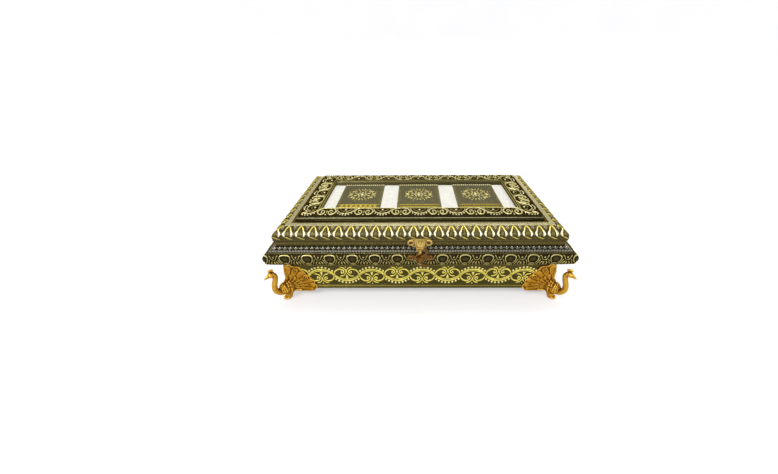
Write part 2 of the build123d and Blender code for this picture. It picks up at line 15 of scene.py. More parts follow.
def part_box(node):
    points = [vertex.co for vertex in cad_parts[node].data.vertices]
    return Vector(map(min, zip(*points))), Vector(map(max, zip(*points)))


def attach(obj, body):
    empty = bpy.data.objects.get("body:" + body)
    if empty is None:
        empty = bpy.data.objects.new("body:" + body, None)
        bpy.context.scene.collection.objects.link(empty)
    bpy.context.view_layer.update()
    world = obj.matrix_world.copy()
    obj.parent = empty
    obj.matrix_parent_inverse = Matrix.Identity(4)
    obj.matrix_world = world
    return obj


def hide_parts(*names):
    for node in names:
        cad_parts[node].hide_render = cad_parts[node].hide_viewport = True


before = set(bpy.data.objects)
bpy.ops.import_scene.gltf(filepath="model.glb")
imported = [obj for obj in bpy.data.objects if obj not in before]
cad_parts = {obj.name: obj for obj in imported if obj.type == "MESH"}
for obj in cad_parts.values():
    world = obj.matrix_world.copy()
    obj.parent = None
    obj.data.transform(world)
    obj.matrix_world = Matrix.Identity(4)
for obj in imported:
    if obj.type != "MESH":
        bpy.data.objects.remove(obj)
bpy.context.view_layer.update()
MM = 0.001

# ---------------------------------------------------------------- materials


def add_node(tree, kind, inputs=None, **properties):
    """A node with its properties set and its inputs given as values or (node, output) pairs."""
    node = tree.nodes.new(kind)
    for key, value in properties.items():
        setattr(node, key, value)
    for key, value in (inputs or {}).items():
        if isinstance(value, tuple) and isinstance(value[0], bpy.types.Node):
            tree.links.new(value[0].outputs[value[1]], node.inputs[key])
        else:
            node.inputs[key].default_value = value
    return node


def ramp(tree, source, *stops):
    """A colour ramp over a factor; each stop is (position, colour)."""
    node = add_node(tree, "ShaderNodeValToRGB", {"Fac": source})
    while len(node.color_ramp.elements) < len(stops):
        node.color_ramp.elements.new(0.5)
    for element, (position, colour) in zip(node.color_ramp.elements, stops):
        element.position = position
        element.color = (*colour, 1.0)
    return node


def mix(tree, factor, first, second):
    """A colour mix; factor is a (node, output) pair, first and second colours or such pairs."""
    ends = [c if isinstance(c[0], bpy.types.Node) else (*c, 1.0) for c in (first, second)]
    inputs = {0: factor, 6: ends[0], 7: ends[1]}
    return (add_node(tree, "ShaderNodeMix", inputs, data_type="RGBA"), 2)


def new_material(name, **sockets):
    """An empty Principled material, its node tree and its shader node."""
    material = bpy.data.materials.new(name)
    material.use_nodes = True
    shader = material.node_tree.nodes["Principled BSDF"]
    for socket, value in sockets.items():
        shader.inputs[socket.replace("_", " ")].default_value = value
    return material, material.node_tree, shader


def link(tree, source, shader, socket):
    tree.links.new(source[0].outputs[source[1]], shader.inputs[socket])


def attribute(tree, name):
    """A value that the piece's own mesh carries."""
    return (add_node(tree, "ShaderNodeAttribute", attribute_name=name), "Fac")


def noise_factor(tree, scale, detail=4.0, stretch=None):
    """Noise over the piece's own coordinates; the scale is in cells per metre."""
    source = (add_node(tree, "ShaderNodeTexCoord"), "Object")
    if stretch:
        inputs = {"Vector": source, "Scale": stretch}
        source = (add_node(tree, "ShaderNodeMapping", inputs), "Vector")
    inputs = {"Vector": source, "Scale": scale, "Detail": detail}
    return (add_node(tree, "ShaderNodeTexNoise", inputs), "Fac")


NOISE_LOW, NOISE_HIGH = 0.3, 0.7  # noise seldom leaves this range


def range_of(tree, source, low, high):
    """Noise spread out to reach from low to high."""
    inputs = {"Value": source, "From Min": NOISE_LOW, "From Max": NOISE_HIGH}
    inputs.update({"To Min": low, "To Max": high})
    return (add_node(tree, "ShaderNodeMapRange", inputs), "Result")


def surface(tree, shader, colour, height, depth, roughness=None):
    """Links a colour, a bump so many metres deep and a roughness, given as (noise, low, high)."""
    link(tree, colour, shader, "Base Color")
    if roughness:
        link(tree, range_of(tree, *roughness), shader, "Roughness")
    inputs = {"Height": height, "Distance": depth, "Strength": 1.0}
    link(tree, (add_node(tree, "ShaderNodeBump", inputs), "Normal"), shader, "Normal")


EDGE_TINT = (0.42, 0.34, 0.18, 1.0)  # what oxidised sheet reflects at a grazing angle
CAST_TINT = (0.80, 0.52, 0.16, 1.0)
PILE_TINT = (0.90, 0.22, 0.20, 1.0)


def embossed_metal(name, low, high, pale, roughness):
    """Antiqued sheet: dark in the hollows, rubbed bright on the crests.

    The pieces carry "crest", 0 at the foot of a raised line and 1 on top of it, and "tone", which
    moves the bright colour towards the pale one.
    """
    material, tree, shader = new_material(name, Metallic=1.0, Specular_Tint=EDGE_TINT)
    wear, fine = noise_factor(tree, 160.0), noise_factor(tree, 1400.0, 3.0)
    bright = mix(tree, attribute(tree, "tone"), high, pale)
    shaded = mix(tree, range_of(tree, wear, 0.0, 0.32), bright, tuple(0.45 * c for c in high))
    inputs = {0: attribute(tree, "crest"), 1: range_of(tree, fine, 0.75, 1.1)}
    rubbed = add_node(tree, "ShaderNodeMath", inputs, operation="MULTIPLY", use_clamp=True)
    spotted = mix(tree, range_of(tree, fine, 0.0, 1.0), low, tuple(1.9 * c for c in low))
    colour = mix(tree, (rubbed, "Value"), spotted, shaded)
    surface(tree, shader, colour, fine, 0.00005, (wear, roughness - 0.06, roughness + 0.12))
    return material


def plain_metal(name, base, dark, roughness):
    """Unplated brass with dull patches and fine scratches."""
    material, tree, shader = new_material(name, Metallic=1.0)
    patches, fine = noise_factor(tree, 220.0), noise_factor(tree, 1800.0, 3.0, (1, 1, 0.25))
    worn = mix(tree, range_of(tree, patches, 0.0, 0.75), base, dark)
    polished = tuple(min(1.0, 1.6 * c + 0.02) for c in base)
    colour = mix(tree, attribute(tree, "crest"), worn, polished)
    surface(tree, shader, colour, fine, 0.00004, (fine, roughness - 0.06, roughness + 0.1))
    return material


def cast_metal(name):
    """Cast brass, dark brown in its recesses and polished orange-gold on its ridges."""
    material, tree, shader = new_material(name, Metallic=0.95, Specular_Tint=CAST_TINT)
    patches, fine = noise_factor(tree, 260.0), noise_factor(tree, 1500.0, 3.0)
    colour = ramp(
        tree,
        attribute(tree, "crest"),
        (0.0, (0.016, 0.005, 0.001)),
        (0.36, (0.095, 0.034, 0.003)),
        (0.52, (0.36, 0.175, 0.012)),
        (0.9, (0.82, 0.50, 0.08)),
    )
    stained = mix(tree, range_of(tree, patches, 0.0, 0.5), (colour, "Color"), (0.30, 0.13, 0.015))
    surface(tree, shader, stained, fine, 0.00006, (patches, 0.26, 0.46))
    return material


def enamel(name, colour, shadow):
    """Painted white sheet, glossy, a little greyer in the hollows as painted shade, and stained in
    places; the shadow colour gives both.
    """
    sockets = {"Roughness": 0.3, "Coat_Weight": 0.35, "Coat_Roughness": 0.12}
    material, tree, shader = new_material(name, **sockets)
    clouds, speck = noise_factor(tree, 120.0), noise_factor(tree, 900.0, 3.0)
    ground = mix(tree, range_of(tree, clouds, 0.0, 0.6), shadow, colour)
    # the hollows at the feet of the raised lines take the darker ground: painted shade
    tint = mix(tree, attribute(tree, "crest"), ground, colour)
    final = mix(tree, range_of(tree, speck, 0.0, 0.12), tint, (0.62, 0.62, 0.66))
    surface(tree, shader, final, speck, 0.00004, (clouds, 0.24, 0.42))
    return material


def velvet(name, colour, crushed):
    """Cotton velvet: crushed patches, a fine pile and a soft sheen."""
    sockets = {"Sheen_Weight": 0.3, "Sheen_Roughness": 0.42, "Sheen_Tint": PILE_TINT}
    sockets.update({"Roughness": 0.92, "Specular_IOR_Level": 0.15})
    material, tree, shader = new_material(name, **sockets)
    patches, pile = noise_factor(tree, 45.0, 5.0), noise_factor(tree, 2600.0, 2.0)
    base = mix(tree, range_of(tree, patches, 0.0, 0.85), colour, crushed)
    final = mix(tree, range_of(tree, pile, 0.0, 0.3), base, tuple(0.4 * c for c in colour))
    surface(tree, shader, final, pile, 0.00012)
    return material


def wood(name, stretch):
    """Stained wood with its grain along one axis."""
    material, tree, shader = new_material(name)
    grain = noise_factor(tree, 260.0, 6.0, stretch)
    pores = noise_factor(tree, 1500.0, 2.0, stretch)
    stops = [(0.25, (0.045, 0.020, 0.009)), (0.5, (0.115, 0.055, 0.024))]
    colour = ramp(tree, grain, *stops, (0.75, (0.175, 0.090, 0.042)))
    final = mix(tree, range_of(tree, pores, 0.35, 0.0), (colour, "Color"), (0.03, 0.014, 0.008))
    surface(tree, shader, final, pores, 0.00008, (grain, 0.45, 0.65))
    return material


wall_metal = embossed_metal(
    "wall_sheet", (0.046, 0.037, 0.011), (0.96, 0.82, 0.165), (0.98, 0.92, 0.46), 0.34
)
rim_metal = embossed_metal(
    "rim_sheet", (0.014, 0.011, 0.004), (0.43, 0.36, 0.115), (0.74, 0.66, 0.29), 0.34
)
slope_metal = embossed_metal(
    "slope_sheet", (0.088, 0.081, 0.066), (0.88, 0.84, 0.68), (0.97, 0.93, 0.79), 0.36
)
lid_metal = embossed_metal(
    "lid_sheet", (0.046, 0.036, 0.015), (0.84, 0.70, 0.16), (0.97, 0.93, 0.66), 0.34
)
frame_metal = embossed_metal(
    "frame_sheet", (0.028, 0.023, 0.010), (0.87, 0.77, 0.27), (0.97, 0.92, 0.57), 0.34
)
tile_metal = embossed_metal(
    "tile_sheet", (0.096, 0.091, 0.059), (0.68, 0.57, 0.16), (0.88, 0.82, 0.45), 0.42
)
band_metal = embossed_metal(
    "tile_band", (0.10, 0.075, 0.015), (0.50, 0.38, 0.05), (0.66, 0.54, 0.12), 0.34
)
clasp_metal = plain_metal("clasp_plate", (0.48, 0.34, 0.10), (0.16, 0.08, 0.012), 0.3)
dark_clasp_metal = plain_metal("clasp_hook", (0.20, 0.10, 0.024), (0.03, 0.012, 0.003), 0.3)
fixing_metal = plain_metal("fixing", (0.52, 0.36, 0.12), (0.20, 0.12, 0.035), 0.34)
brass = cast_metal("peacock_brass")
white_ground = enamel("enamel_ground", (0.60, 0.585, 0.50), (0.50, 0.485, 0.43))
white_line = enamel("enamel_scroll", (0.68, 0.67, 0.58), (0.34, 0.33, 0.30))
red_velvet = velvet("red_velvet", (0.20, 0.006, 0.012), (0.075, 0.002, 0.006))
wood_along_x = wood("wood_along_x", (0.06, 1, 1))
wood_along_y = wood("wood_along_y", (1, 0.06, 1))

# ---------------------------------------------------------------- raised ornament


def curve(points, count=16):
    """A smooth line through the points, evenly divided (Catmull-Rom)."""
    p = np.array(points, float)
    p = np.vstack([2 * p[0] - p[1], p, 2 * p[-1] - p[-2]])
    t = np.linspace(0, len(p) - 3, count, endpoint=True)
    i = np.minimum(t.astype(int), len(p) - 4)
    t = (t - i)[:, None]
    a, b, c, d = p[i], p[i + 1], p[i + 2], p[i + 3]
    return 0.5 * (
        2 * b + (c - a) * t + (2 * a - 5 * b + 4 * c - d) * t**2 + (3 * b - a - 3 * c + d) * t**3
    )


def mirror_path(half):
    """A symmetric path from its left half, which ends on the middle."""
    return [*half, *[(-u, v) for u, v in reversed(half[:-1])]]


def spiral(start, end, turns):
    """A scroll about 0 from its outer end, below, into its eye; radii are (across, up)."""
    t = np.linspace(0, 1, 22)
    angle = turns * 2 * math.pi * t - math.pi / 2
    radii = np.array(end) + np.outer(1 - t, np.subtract(start, end))
    return radii * np.c_[np.cos(angle), np.sin(angle)]


# how much of its size a stroke keeps at its two ends
ROUND, FULL = (0.35, 0.35), (1, 1)


class Motif:
    """Raised ornament: points (along, girth, height), how much each shows bright, and faces."""

    SUNK = 0.12  # how far the feet of the shapes go into the sheet

    def __init__(self):
        self.points, self.crest, self.tone, self.faces, self.count = [], [], [], [], 0

    def add(self, points, crest, tone, faces):
        points = np.asarray(points, float)
        self.faces += [tuple(i + self.count for i in face) for face in faces]
        self.points.append(points)
        self.crest.append(np.broadcast_to(crest, len(points)).astype(float))
        self.tone.append(np.broadcast_to(tone, len(points)).astype(float))
        self.count += len(points)

    def stroke(self, line, width, height=0.55, tone=0.0, shine=1.0, tips=ROUND, closed=False):
        """A half-round line. width, height and tone are single values or (start, end) pairs."""
        line = np.asarray(line, float)
        n = len(line)
        t = np.linspace(0, 1, n)

        def spread(value):
            if np.ndim(value) == 0:
                return np.full(n, float(value))
            return np.interp(t, np.linspace(0, 1, len(value)), value)

        ease = np.ones(n)
        if not closed:
            ease = np.minimum(
                tips[0] + (1 - tips[0]) * np.sqrt(np.clip(t / 0.14, 0, 1)),
                tips[1] + (1 - tips[1]) * np.sqrt(np.clip((1 - t) / 0.14, 0, 1)),
            )
        half, high, tones = spread(width) * ease / 2, spread(height) * ease, spread(tone)
        if closed:
            ahead = np.roll(line, -1, 0) - np.roll(line, 1, 0)
        else:
            ahead = np.gradient(line, axis=0)
        ahead /= np.maximum(np.hypot(*ahead.T), 1e-9)[:, None]
        across = np.c_[-ahead[:, 1], ahead[:, 0]]
        rings = []
        for side, up in ((-1, None), (-0.66, 0.72), (0, 1), (0.66, 0.72), (1, None)):
            h = np.full(n, -self.SUNK) if up is None else high * up
            rings.append(np.c_[line + across * (half * side)[:, None], h])
        points = np.stack(rings, 1).reshape(-1, 3)
        crest = np.tile([0.0, 0.75 * shine, shine, 0.75 * shine, 0.0], n)
        faces = []
        for i in range(n if closed else n - 1):
            a, b = 5 * i, 5 * ((i + 1) % n)
            faces += [(a + k, b + k, b + k + 1, a + k + 1)[::-1] for k in range(4)]
            faces.append((a + 4, b + 4, b, a)[::-1])
        if not closed:
            last = 5 * (n - 1)
            faces += [(0, 1, 2, 3, 4)[::-1], tuple(last + k for k in range(5))]
        self.add(points, crest, np.repeat(tones, 5), faces)

    def bead(self, centre, radius, height=None, tone=0.0, shine=1.0, sides=8, stretch=1.0):
        """A dome; stretch makes it longer across the girth."""
        height = radius * 0.8 if height is None else height
        a = np.arange(sides) * 2 * math.pi / sides
        ring = np.c_[np.cos(a), np.sin(a) * stretch] * radius
        points = np.vstack(
            [
                np.c_[ring, np.full(sides, -self.SUNK)],
                np.c_[ring * 0.74, np.full(sides, height * 0.68)],
                [[0, 0, height]],
            ]
        )
        points[:, 0] += centre[0]
        points[:, 1] += centre[1]
        faces = [tuple(range(sides))[::-1]]
        for k in range(sides):
            j = (k + 1) % sides
            faces += [(k, j, sides + j, sides + k), (sides + k, sides + j, 2 * sides)]
        crest = np.r_[np.zeros(sides), np.full(sides, 0.85 * shine), shine]
        self.add(points, crest, tone, faces)

    def ring(self, centre, radii, width, height=0.5, tone=0.0, shine=1.0, count=16):
        a = np.arange(count) * 2 * math.pi / count
        line = np.c_[centre[0] + radii[0] * np.cos(a), centre[1] + radii[1] * np.sin(a)]
        self.stroke(line, width, height, tone, shine, closed=True)

    def stamp(self, other, along=0.0, girth=0.0, scale=(1, 1), turn=0.0):
        """Another motif's shapes, scaled or mirrored, turned about the height and moved."""
        points, crest, tone, faces = other.whole()
        points *= (*scale, 1)
        if turn:
            c, s = math.cos(turn), math.sin(turn)
            points[:, :2] = points[:, :2] @ np.array([[c, s], [-s, c]])
        if scale[0] * scale[1] < 0:
            faces = [face[::-1] for face in faces]
        self.add(points + (along, girth, 0), crest, tone, faces)

    def row(self, other, run, pitch, start=0.0, girth=0.0, clear=None):
        """Another motif all along a run, or as far as clear millimetres from its ends."""
        reach = math.inf if clear is None else run / 2 - clear
        for _, u in places(run, pitch, start):
            if abs(u) < reach:
                self.stamp(other, u, girth)

    def line(self, run, girth, width, height, tone=0.0, shine=1.0):
        """A straight line all along a run."""
        ends = np.linspace(-run / 2 - 1, run / 2 + 1, 9)
        self.stroke(np.c_[ends, np.full(9, girth)], width, height, tone, shine)

    def whole(self):
        """All the points, their crest and their tone, and the faces."""
        columns = (np.concatenate(part) for part in (self.points, self.crest, self.tone))
        return (*columns, self.faces)

    def mesh(self, name, place):
        """A mesh of the shapes; place turns their points into points of the frame."""
        points, crest, tone, faces = self.whole()
        return mesh_of(name, place(points), faces, crest, tone)


def mirrored(half):
    """A motif and its mirror image about the middle."""
    both = Motif()
    both.stamp(half)
    both.stamp(half, scale=(-1, 1))
    return both


def in_scene(name, data):
    """A new object of the scene."""
    thing = bpy.data.objects.new(name, data)
    bpy.context.scene.collection.objects.link(thing)
    return thing


def finish_piece(name, body, mesh, material, smooth_angle=50.0):
    mesh.materials.append(material)
    mesh.shade_smooth()
    mesh.set_sharp_from_angle(angle=math.radians(smooth_angle))
    piece = in_scene(name, mesh)
    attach(piece, body)
    return piece


def give(mesh, key, values):
    """Sets a value for each point of a mesh, for its material."""
    row = mesh.attributes.new(key, "FLOAT", "POINT").data
    row.foreach_set("value", np.asarray(values, np.float32))


def values_of(items, key, width, kind=float):
    """One property of a mesh's items, with a row for each."""
    values = np.zeros(len(items) * width, kind)
    items.foreach_get(key, values)
    return values.reshape(-1, width)


def mesh_of(name, points, faces, crest=None, tone=None):
    """A mesh from points in millimetres, with the material's attributes where they are given."""
    mesh = bpy.data.meshes.new(name)
    mesh.from_pydata((np.asarray(points) * MM).tolist(), [], faces)
    for key, values in (("crest", crest), ("tone", tone)):
        if values is not None:
            give(mesh, key, values)
    return mesh


def joined(meshes, name):
    """Several meshes as one."""
    whole = bmesh.new()
    for mesh in meshes:
        whole.from_mesh(mesh)
        bpy.data.meshes.remove(mesh)
    result = bpy.data.meshes.new(name)
    whole.to_mesh(result)
    whole.free()
    return result


INWARD = {"front": (0, 1), "right": (-1, 0), "back": (0, -1), "left": (1, 0)}


class Moulding:
    """A moulding's outline, from a CAD node's box, and the four mitred runs it makes."""

    EDGE = 0.25  # a point this close to each end of a long flat keeps the flat's own slope

    def __init__(self, node, outline):
        low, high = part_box(node)
        self.width, self.depth = (high.x - low.x) / MM, (high.y - low.y) / MM
        line = np.array(outline, float) + (0, low.z / MM)
        dense = [line[0]]
        for a, b in zip(line[:-1], line[1:]):
            length = math.hypot(*(b - a))
            if length > 4 * self.EDGE:
                dense += [a + (b - a) * self.EDGE / length, b - (b - a) * self.EDGE / length]
            dense.append(b)
        self.line = np.array(dense)
        ahead = np.gradient(self.line, axis=0)
        ahead /= np.hypot(*ahead.T)[:, None]
        self.outward = np.c_[-ahead[:, 1], ahead[:, 0]]
        self.girth = np.r_[0, np.cumsum(np.hypot(*np.diff(self.line, axis=0).T))]

    def spans(self, side):
        """How long a side is, and how far apart it and the one opposite are."""
        size = (self.width, self.depth)
        return size if side in ("front", "back") else size[::-1]

    def lay(self, side, points):
        """Points (along, girth, height) on one side of the box, in its frame, in millimetres."""
        u, v, h = points.T
        r = np.interp(v, self.girth, self.line[:, 0])
        z = np.interp(v, self.girth, self.line[:, 1])
        r = r + h * np.interp(v, self.girth, self.outward[:, 0])
        z = z + h * np.interp(v, self.girth, self.outward[:, 1])
        inward = np.array(INWARD[side], float)
        along = np.array([inward[1], -inward[0]])
        flat = np.outer(u, along) + np.outer(r - self.spans(side)[1] / 2, inward)
        return np.c_[flat, z]

    def dress(self, name, body, motif_for, material):
        """One piece of ornament round the box; motif_for(side, run) gives each side's motif."""
        meshes = []
        for side in INWARD:
            motif = motif_for(side, self.spans(side)[0])
            mesh = motif.mesh("run", lambda points: self.lay(side, points))
            meshes.append(self.mitred(mesh, side))
        finish_piece(name, body, joined(meshes, name), material)

    def mitred(self, mesh, side):
        """The mesh cut off at both mitres."""
        inward = Vector((*INWARD[side], 0))
        along = inward.cross(Vector((0, 0, 1)))
        run, span = self.spans(side)
        cut = bmesh.new()
        cut.from_mesh(mesh)
        for end in (-1, 1):
            corner = (inward * (-span / 2) + along * (end * run / 2)) * MM
            plane = {"plane_co": corner, "plane_no": along * end + inward}
            every = [*cut.verts, *cut.edges, *cut.faces]
            bmesh.ops.bisect_plane(cut, geom=every, clear_outer=True, **plane)
            rim = [e for e in cut.edges if e.is_boundary]
            if rim:
                bmesh.ops.holes_fill(cut, edges=rim, sides=0)
        cut.to_mesh(mesh)
        cut.free()
        return mesh


def arc(centre, radii, start, end, count):
    a = np.radians(np.linspace(start, end, count))
    return [(centre[0] + radii[0] * math.cos(t), centre[1] + radii[1] * math.sin(t)) for t in a]


# outlines: distance in from the node's outer line, height over its underside
wall = Moulding("wall_cladding", [(0, 0), (0, 37.3)])
rim = Moulding(
    "rim_cladding",
    [
        *arc((10.49, 9.7), (10.49, 10.49), 247.6, 180, 12),
        *arc((2.4, 12.7), (2.4, 2.4), 180, 90, 6),
        (9.5, 19.2),
        (21.8, 19.2),
    ],
)
lid = Moulding(
    "lid_cladding",
    [(0.8, 0), (0.8, 5.6), (0, 6.4), *arc((15, 10.2), (15, 7.8), 180, 90, 16), (26, 18)],
)
RAIL_WIDTH = 20.75
rail_line = [(0, 0), (0, 2.2), (2.2, 3.9), (2.2, 5.1), (19.3, 5.1)]
rail = Moulding("frame_cladding", [*rail_line, (RAIL_WIDTH, 3.5), (RAIL_WIDTH, 1.6)])


def places(run, pitch, middle=0.0):
    """Where ornament of one pitch stands along a run, out to both of its ends."""
    first = math.ceil((-run / 2 - pitch - middle) / pitch)
    last = math.floor((run / 2 + pitch - middle) / pitch)
    return [(i, middle + i * pitch) for i in range(first, last + 1)]


# ---- wall: a chain of scrolled cells between two plain lines

WALL_PITCH, WALL_LINE, WALL_TALL = 26.7, 18.4, 1.1
FRONT_SHIFT = 3.0  # the chain is not quite in the middle of the front


def wall_cell():
    half = Motif()
    scroll = [(-13.35, 0), (-12.0, -4.2), (-8.7, -6.8), (-5.2, -7.0), (-2.7, -5.2)]
    scroll += [(-2.9, -3.2), (-4.8, -2.4), (-6.0, -3.7)]
    half.stroke(curve(scroll, 24), (1.9, 1.9, 1.2), 0.6)
    half.stroke(curve([(0, -4.4), (-1.2, -6.9), (-3.0, -8.9), (-6.4, -9.6)], 8), (1.0, 1.7), 0.5)
    half.stroke(curve([(0, -4.0), (-1.8, -1.3), (-3.8, 0.8), (-7.6, 1.3)], 8), (1.0, 1.7), 0.5)
    half.bead((-5.0, -4.2), 0.9, tone=0.3)
    half.bead((-13.35, 0), 2.0, 0.75, tone=0.1)
    for u, v in ((1.9, 9.4), (5.6, 8.6), (9.0, 7.2), (12.0, 5.2)):
        half.bead((-u, v), 1.4, 0.95, tone=0.6)
    cell = mirrored(half)
    top = [(-13.35, 0), (-12.0, 2.2), (-9.2, 4.4), (-5.2, 6.3), (0, 7.0)]
    cell.stroke(curve(mirror_path(top), 26), 1.7, 0.65, tips=FULL)
    inner = [(-12.2, -0.4), (-10.9, 1.4), (-8.2, 3.0), (-4.8, 4.5), (0, 5.0)]
    cell.stroke(curve(mirror_path(inner), 22), 1.1, 0.45, shine=0.9, tips=FULL)
    between = [(-12.8, -0.2), (-11.5, 1.8), (-8.7, 3.7), (-5.0, 5.4), (0, 6.0)]
    cell.stroke(curve(mirror_path(between), 22), 1.2, 0.25, shine=0.5, tips=FULL)
    drop = [(0, -1.0), (0, 0.6), (0, 2.2), (0, 3.8)]
    cell.stroke(drop, (0.7, 2.4, 4.4), 0.6, tone=0.3, tips=(0.5, 0.8))
    cell.stroke([(0, -5.4), (0, -6.8), (0, -8.2)], 0.8, 0.4)
    cell.bead((0, -10.0), 0.8, tone=0.3)
    cell.bead((0, -4.4), 1.15, 0.9, tone=0.5)
    return cell


def wall_motif(side, run):
    cell, rib, motif = wall_cell(), Motif(), Motif()
    for i, u in places(run, WALL_PITCH, FRONT_SHIFT if side == "front" else 0.0):
        motif.stamp(cell, u, WALL_LINE, (1, -WALL_TALL if i % 2 else WALL_TALL))
    for v, width, shine in ((1.0, 0.8, 0.1), (3.2, 1.2, 0.36), (5.4, 0.8, 0.12)):
        motif.line(run, v, width, 0.35, shine=shine)
    rib.stroke([(0, 30.8), (0, 33.0), (0, 36.0)], 1.3, 0.3, tone=0.6, shine=0.3)
    motif.row(rib, run, 2.2, clear=0)
    return motif


wall.dress("wall_ornament", "base", wall_motif, wall_metal)

# ---- rim: dark medallions between forked palmettes, a beaded edge and a ribbed slope

RIM_PITCH = 21.9


def rim_cell():
    """A dark cup under an arch, with a small flower below it."""
    half = Motif()
    cup = curve([(-4.9, 15.6), (-5.0, 13.0), (-3.7, 10.4), (-2.4, 8.8)], 9)
    half.stroke(cup, (1.3, 0.9), 0.5, tone=0.2)
    for k in range(3):
        start = np.array((-7.3 + 0.9 * k, 13.6 - 2.5 * k))
        line = curve([start, start + (0.7, -1.2), start + (1.5, -2.7)], 6)
        half.stroke(line, (0.5, 1.0, 0.6), 0.45, tone=0.5, shine=0.95)
    cell = mirrored(half)
    top = [(-5.4, 15.0), (-4.6, 16.8), (-2.6, 17.8), (0, 18.1)]
    cell.stroke(curve(mirror_path(top), 16), 1.4, 0.6, tone=0.5, tips=(0.6, 0.6))
    cell.bead((0, 13.4), 3.3, 0.5, tone=1.0, shine=0.05, sides=16, stretch=0.95)
    cell.ring((0, 5.8), (2.5, 2.9), 1.1, 0.5, tone=0.4)
    cell.bead((0, 5.6), 1.0, 0.6, tone=0.7)
    return cell


def palmette():
    """A lily that hangs under an open tulip."""
    half = Motif()
    tulip = curve([(-4.3, 18.2), (-3.1, 16.4), (-2.4, 14.6), (-1.6, 13.4), (0, 12.9)], 9)
    half.stroke(tulip, (1.0, 0.8, 0.8), 0.5, tone=0.3)
    petal = curve([(-1.5, 11.4), (-2.8, 9.9), (-3.2, 7.6), (-2.5, 5.4)], 8)
    half.stroke(petal, (0.6, 1.4, 0.9), 0.55, tone=0.5)
    both = mirrored(half)
    both.stroke([(0, 11.2), (0, 8.4), (0, 5.2)], (0.8, 2.3, 1.2), 0.55, tone=0.7)
    both.bead((0, 15.8), 1.0, 0.5, tone=0.5)
    return both


def rim_motif(side, run):
    cell, leaf, small, motif = rim_cell(), palmette(), Motif(), Motif()
    for _, u in places(run, RIM_PITCH):
        motif.stamp(cell, u)
        motif.stamp(leaf, u + RIM_PITCH / 2)
    small.bead((0, 20.1), 0.62, 0.42, shine=0.75, sides=6)
    motif.row(small, run, 1.62, clear=0)
    motif.line(run, 1.5, 0.9, 0.35, shine=0.4)
    for v, width in ((29.6, 0.8), (31.4, 0.5), (37.0, 0.8)):
        motif.line(run, v, width, 0.13, 0.4, 0.7)
    return motif


def slope_motif(side, run):
    """Fine ribs on the slope, with a row of small arches under the lid's edge."""
    rib, arch, motif = Motif(), Motif(), Motif()
    rib.stroke([(0, 21.4), (0, 22.6), (0, 24.0)], 0.95, 0.32, tone=0.6, shine=0.55)
    arch.stroke(curve(mirror_path([(-2.5, 27.6), (-1.5, 25.9), (0, 25.2)]), 8), 0.8, 0.3, shine=0.5)
    arch.bead((0, 27.1), 0.9, 0.4, tone=0.6, shine=0.95)
    motif.row(rib, run, 1.5, clear=0)
    motif.row(arch, run, 5.3, clear=0)
    return motif


rim.dress("rim_ornament", "base", rim_motif, rim_metal)
rim.dress("rim_slope_ribs", "base", slope_motif, slope_metal)

# ---- lid: a ribbed band under a row of pointed leaves

LEAF_PITCH = 12.15


def lid_leaf():
    half = Motif()
    # the arch's feet and the fat legs are toned towards pale cream: painted highlight where the
    # moulding's curve catches the light
    arch = curve([(-2.9, 16.0), (-2.6, 18.0), (-1.6, 21.0), (-0.2, 23.4)], 12)
    half.stroke(arch, (1.6, 1.9, 1.8, 1.6), 0.6, tone=(0.6, 0.1, 0.0, 0.0), tips=(0.5, 0.8))
    leg = curve([(-2.9, 11.4), (-3.8, 13.3), (-3.9, 15.1), (-2.7, 17.8)], 12)
    half.stroke(leg, (1.2, 2.7, 2.9, 1.3), 0.75, tone=1.0, tips=(0.3, 0.4))
    half.stroke([(-1.1, 12.4), (-1.2, 14.6), (-0.8, 16.6)], 0.5, 0.3, shine=0.35)
    leaf = mirrored(half)
    leaf.stroke([(0, 12.0), (0, 14.8), (0, 17.3), (0, 19.4)], (0.7, 1.2, 0.6), 0.4, shine=0.22)
    return leaf


def lid_vein():
    vein = Motif()
    tip = curve([(-3.2, 11.4), (-0.8, 10.8), (1.6, 9.4), (4.4, 8.9)], 9)
    vein.stroke(tip, (0.7, 1.5, 0.5), 0.45, shine=0.85)
    for k in range(3):
        line = [(-5.4 + 3.1 * k, 10.9), (-4.2 + 3.1 * k, 9.6), (-2.8 + 3.1 * k, 8.2)]
        vein.stroke(line, 0.5, 0.3, shine=0.35)
    vein.bead((6.0, 13.6), 0.55, 0.35, shine=0.5, sides=6)
    return vein


def lid_motif(side, run):
    leaf, vein, motif = lid_leaf(), lid_vein(), Motif()
    for _, u in places(run, LEAF_PITCH, LEAF_PITCH / 2):
        motif.stamp(leaf, u)
        motif.stamp(vein, u)
    motif.line(run, 7.3, 0.8, 0.3, shine=0.2)
    motif.line(run, 30.6, 0.7, 0.25, shine=0.3)
    return motif


def band_motif(side, run):
    rib, motif = Motif(), Motif()
    rib.stroke([(0, 0.7), (0, 2.8), (0, 4.9)], 0.85, 0.4, shine=0.34)
    motif.row(rib, run, 1.35, clear=0)
    return motif


def ledge_motif(side, run):
    """Close rows of small beads on the flat round the raised frame, finer between the leaves."""
    bead, group, motif = Motif(), Motif(), Motif()
    bead.bead((0, 0), 0.74, 0.4, tone=0.75, shine=0.9, sides=6)
    for row, v in enumerate((24.6, 25.9, 27.2, 28.5)):
        motif.row(bead, run, 1.5, 0.75 * (row % 2), v, clear=8)
    for u, v in ((0, 22.8), (-1.3, 23.6), (1.3, 23.6), (-0.8, 21.4), (0.8, 21.4), (0, 19.8)):
        group.bead((u, v), 0.65, 0.3, tone=0.75, shine=0.75, sides=5)
    motif.row(group, run, LEAF_PITCH)
    return motif


lid.dress("lid_ornament", "lid", lid_motif, lid_metal)
lid.dress("lid_ledge_beads", "lid", ledge_motif, lid_metal)
lid.dress("lid_band_ribs", "lid", band_motif, lid_metal)

# ---- raised frame: dotted scallops between pairs of scrolls

RAIL_PITCH, RAIL_EDGE = 38.0, 6.2


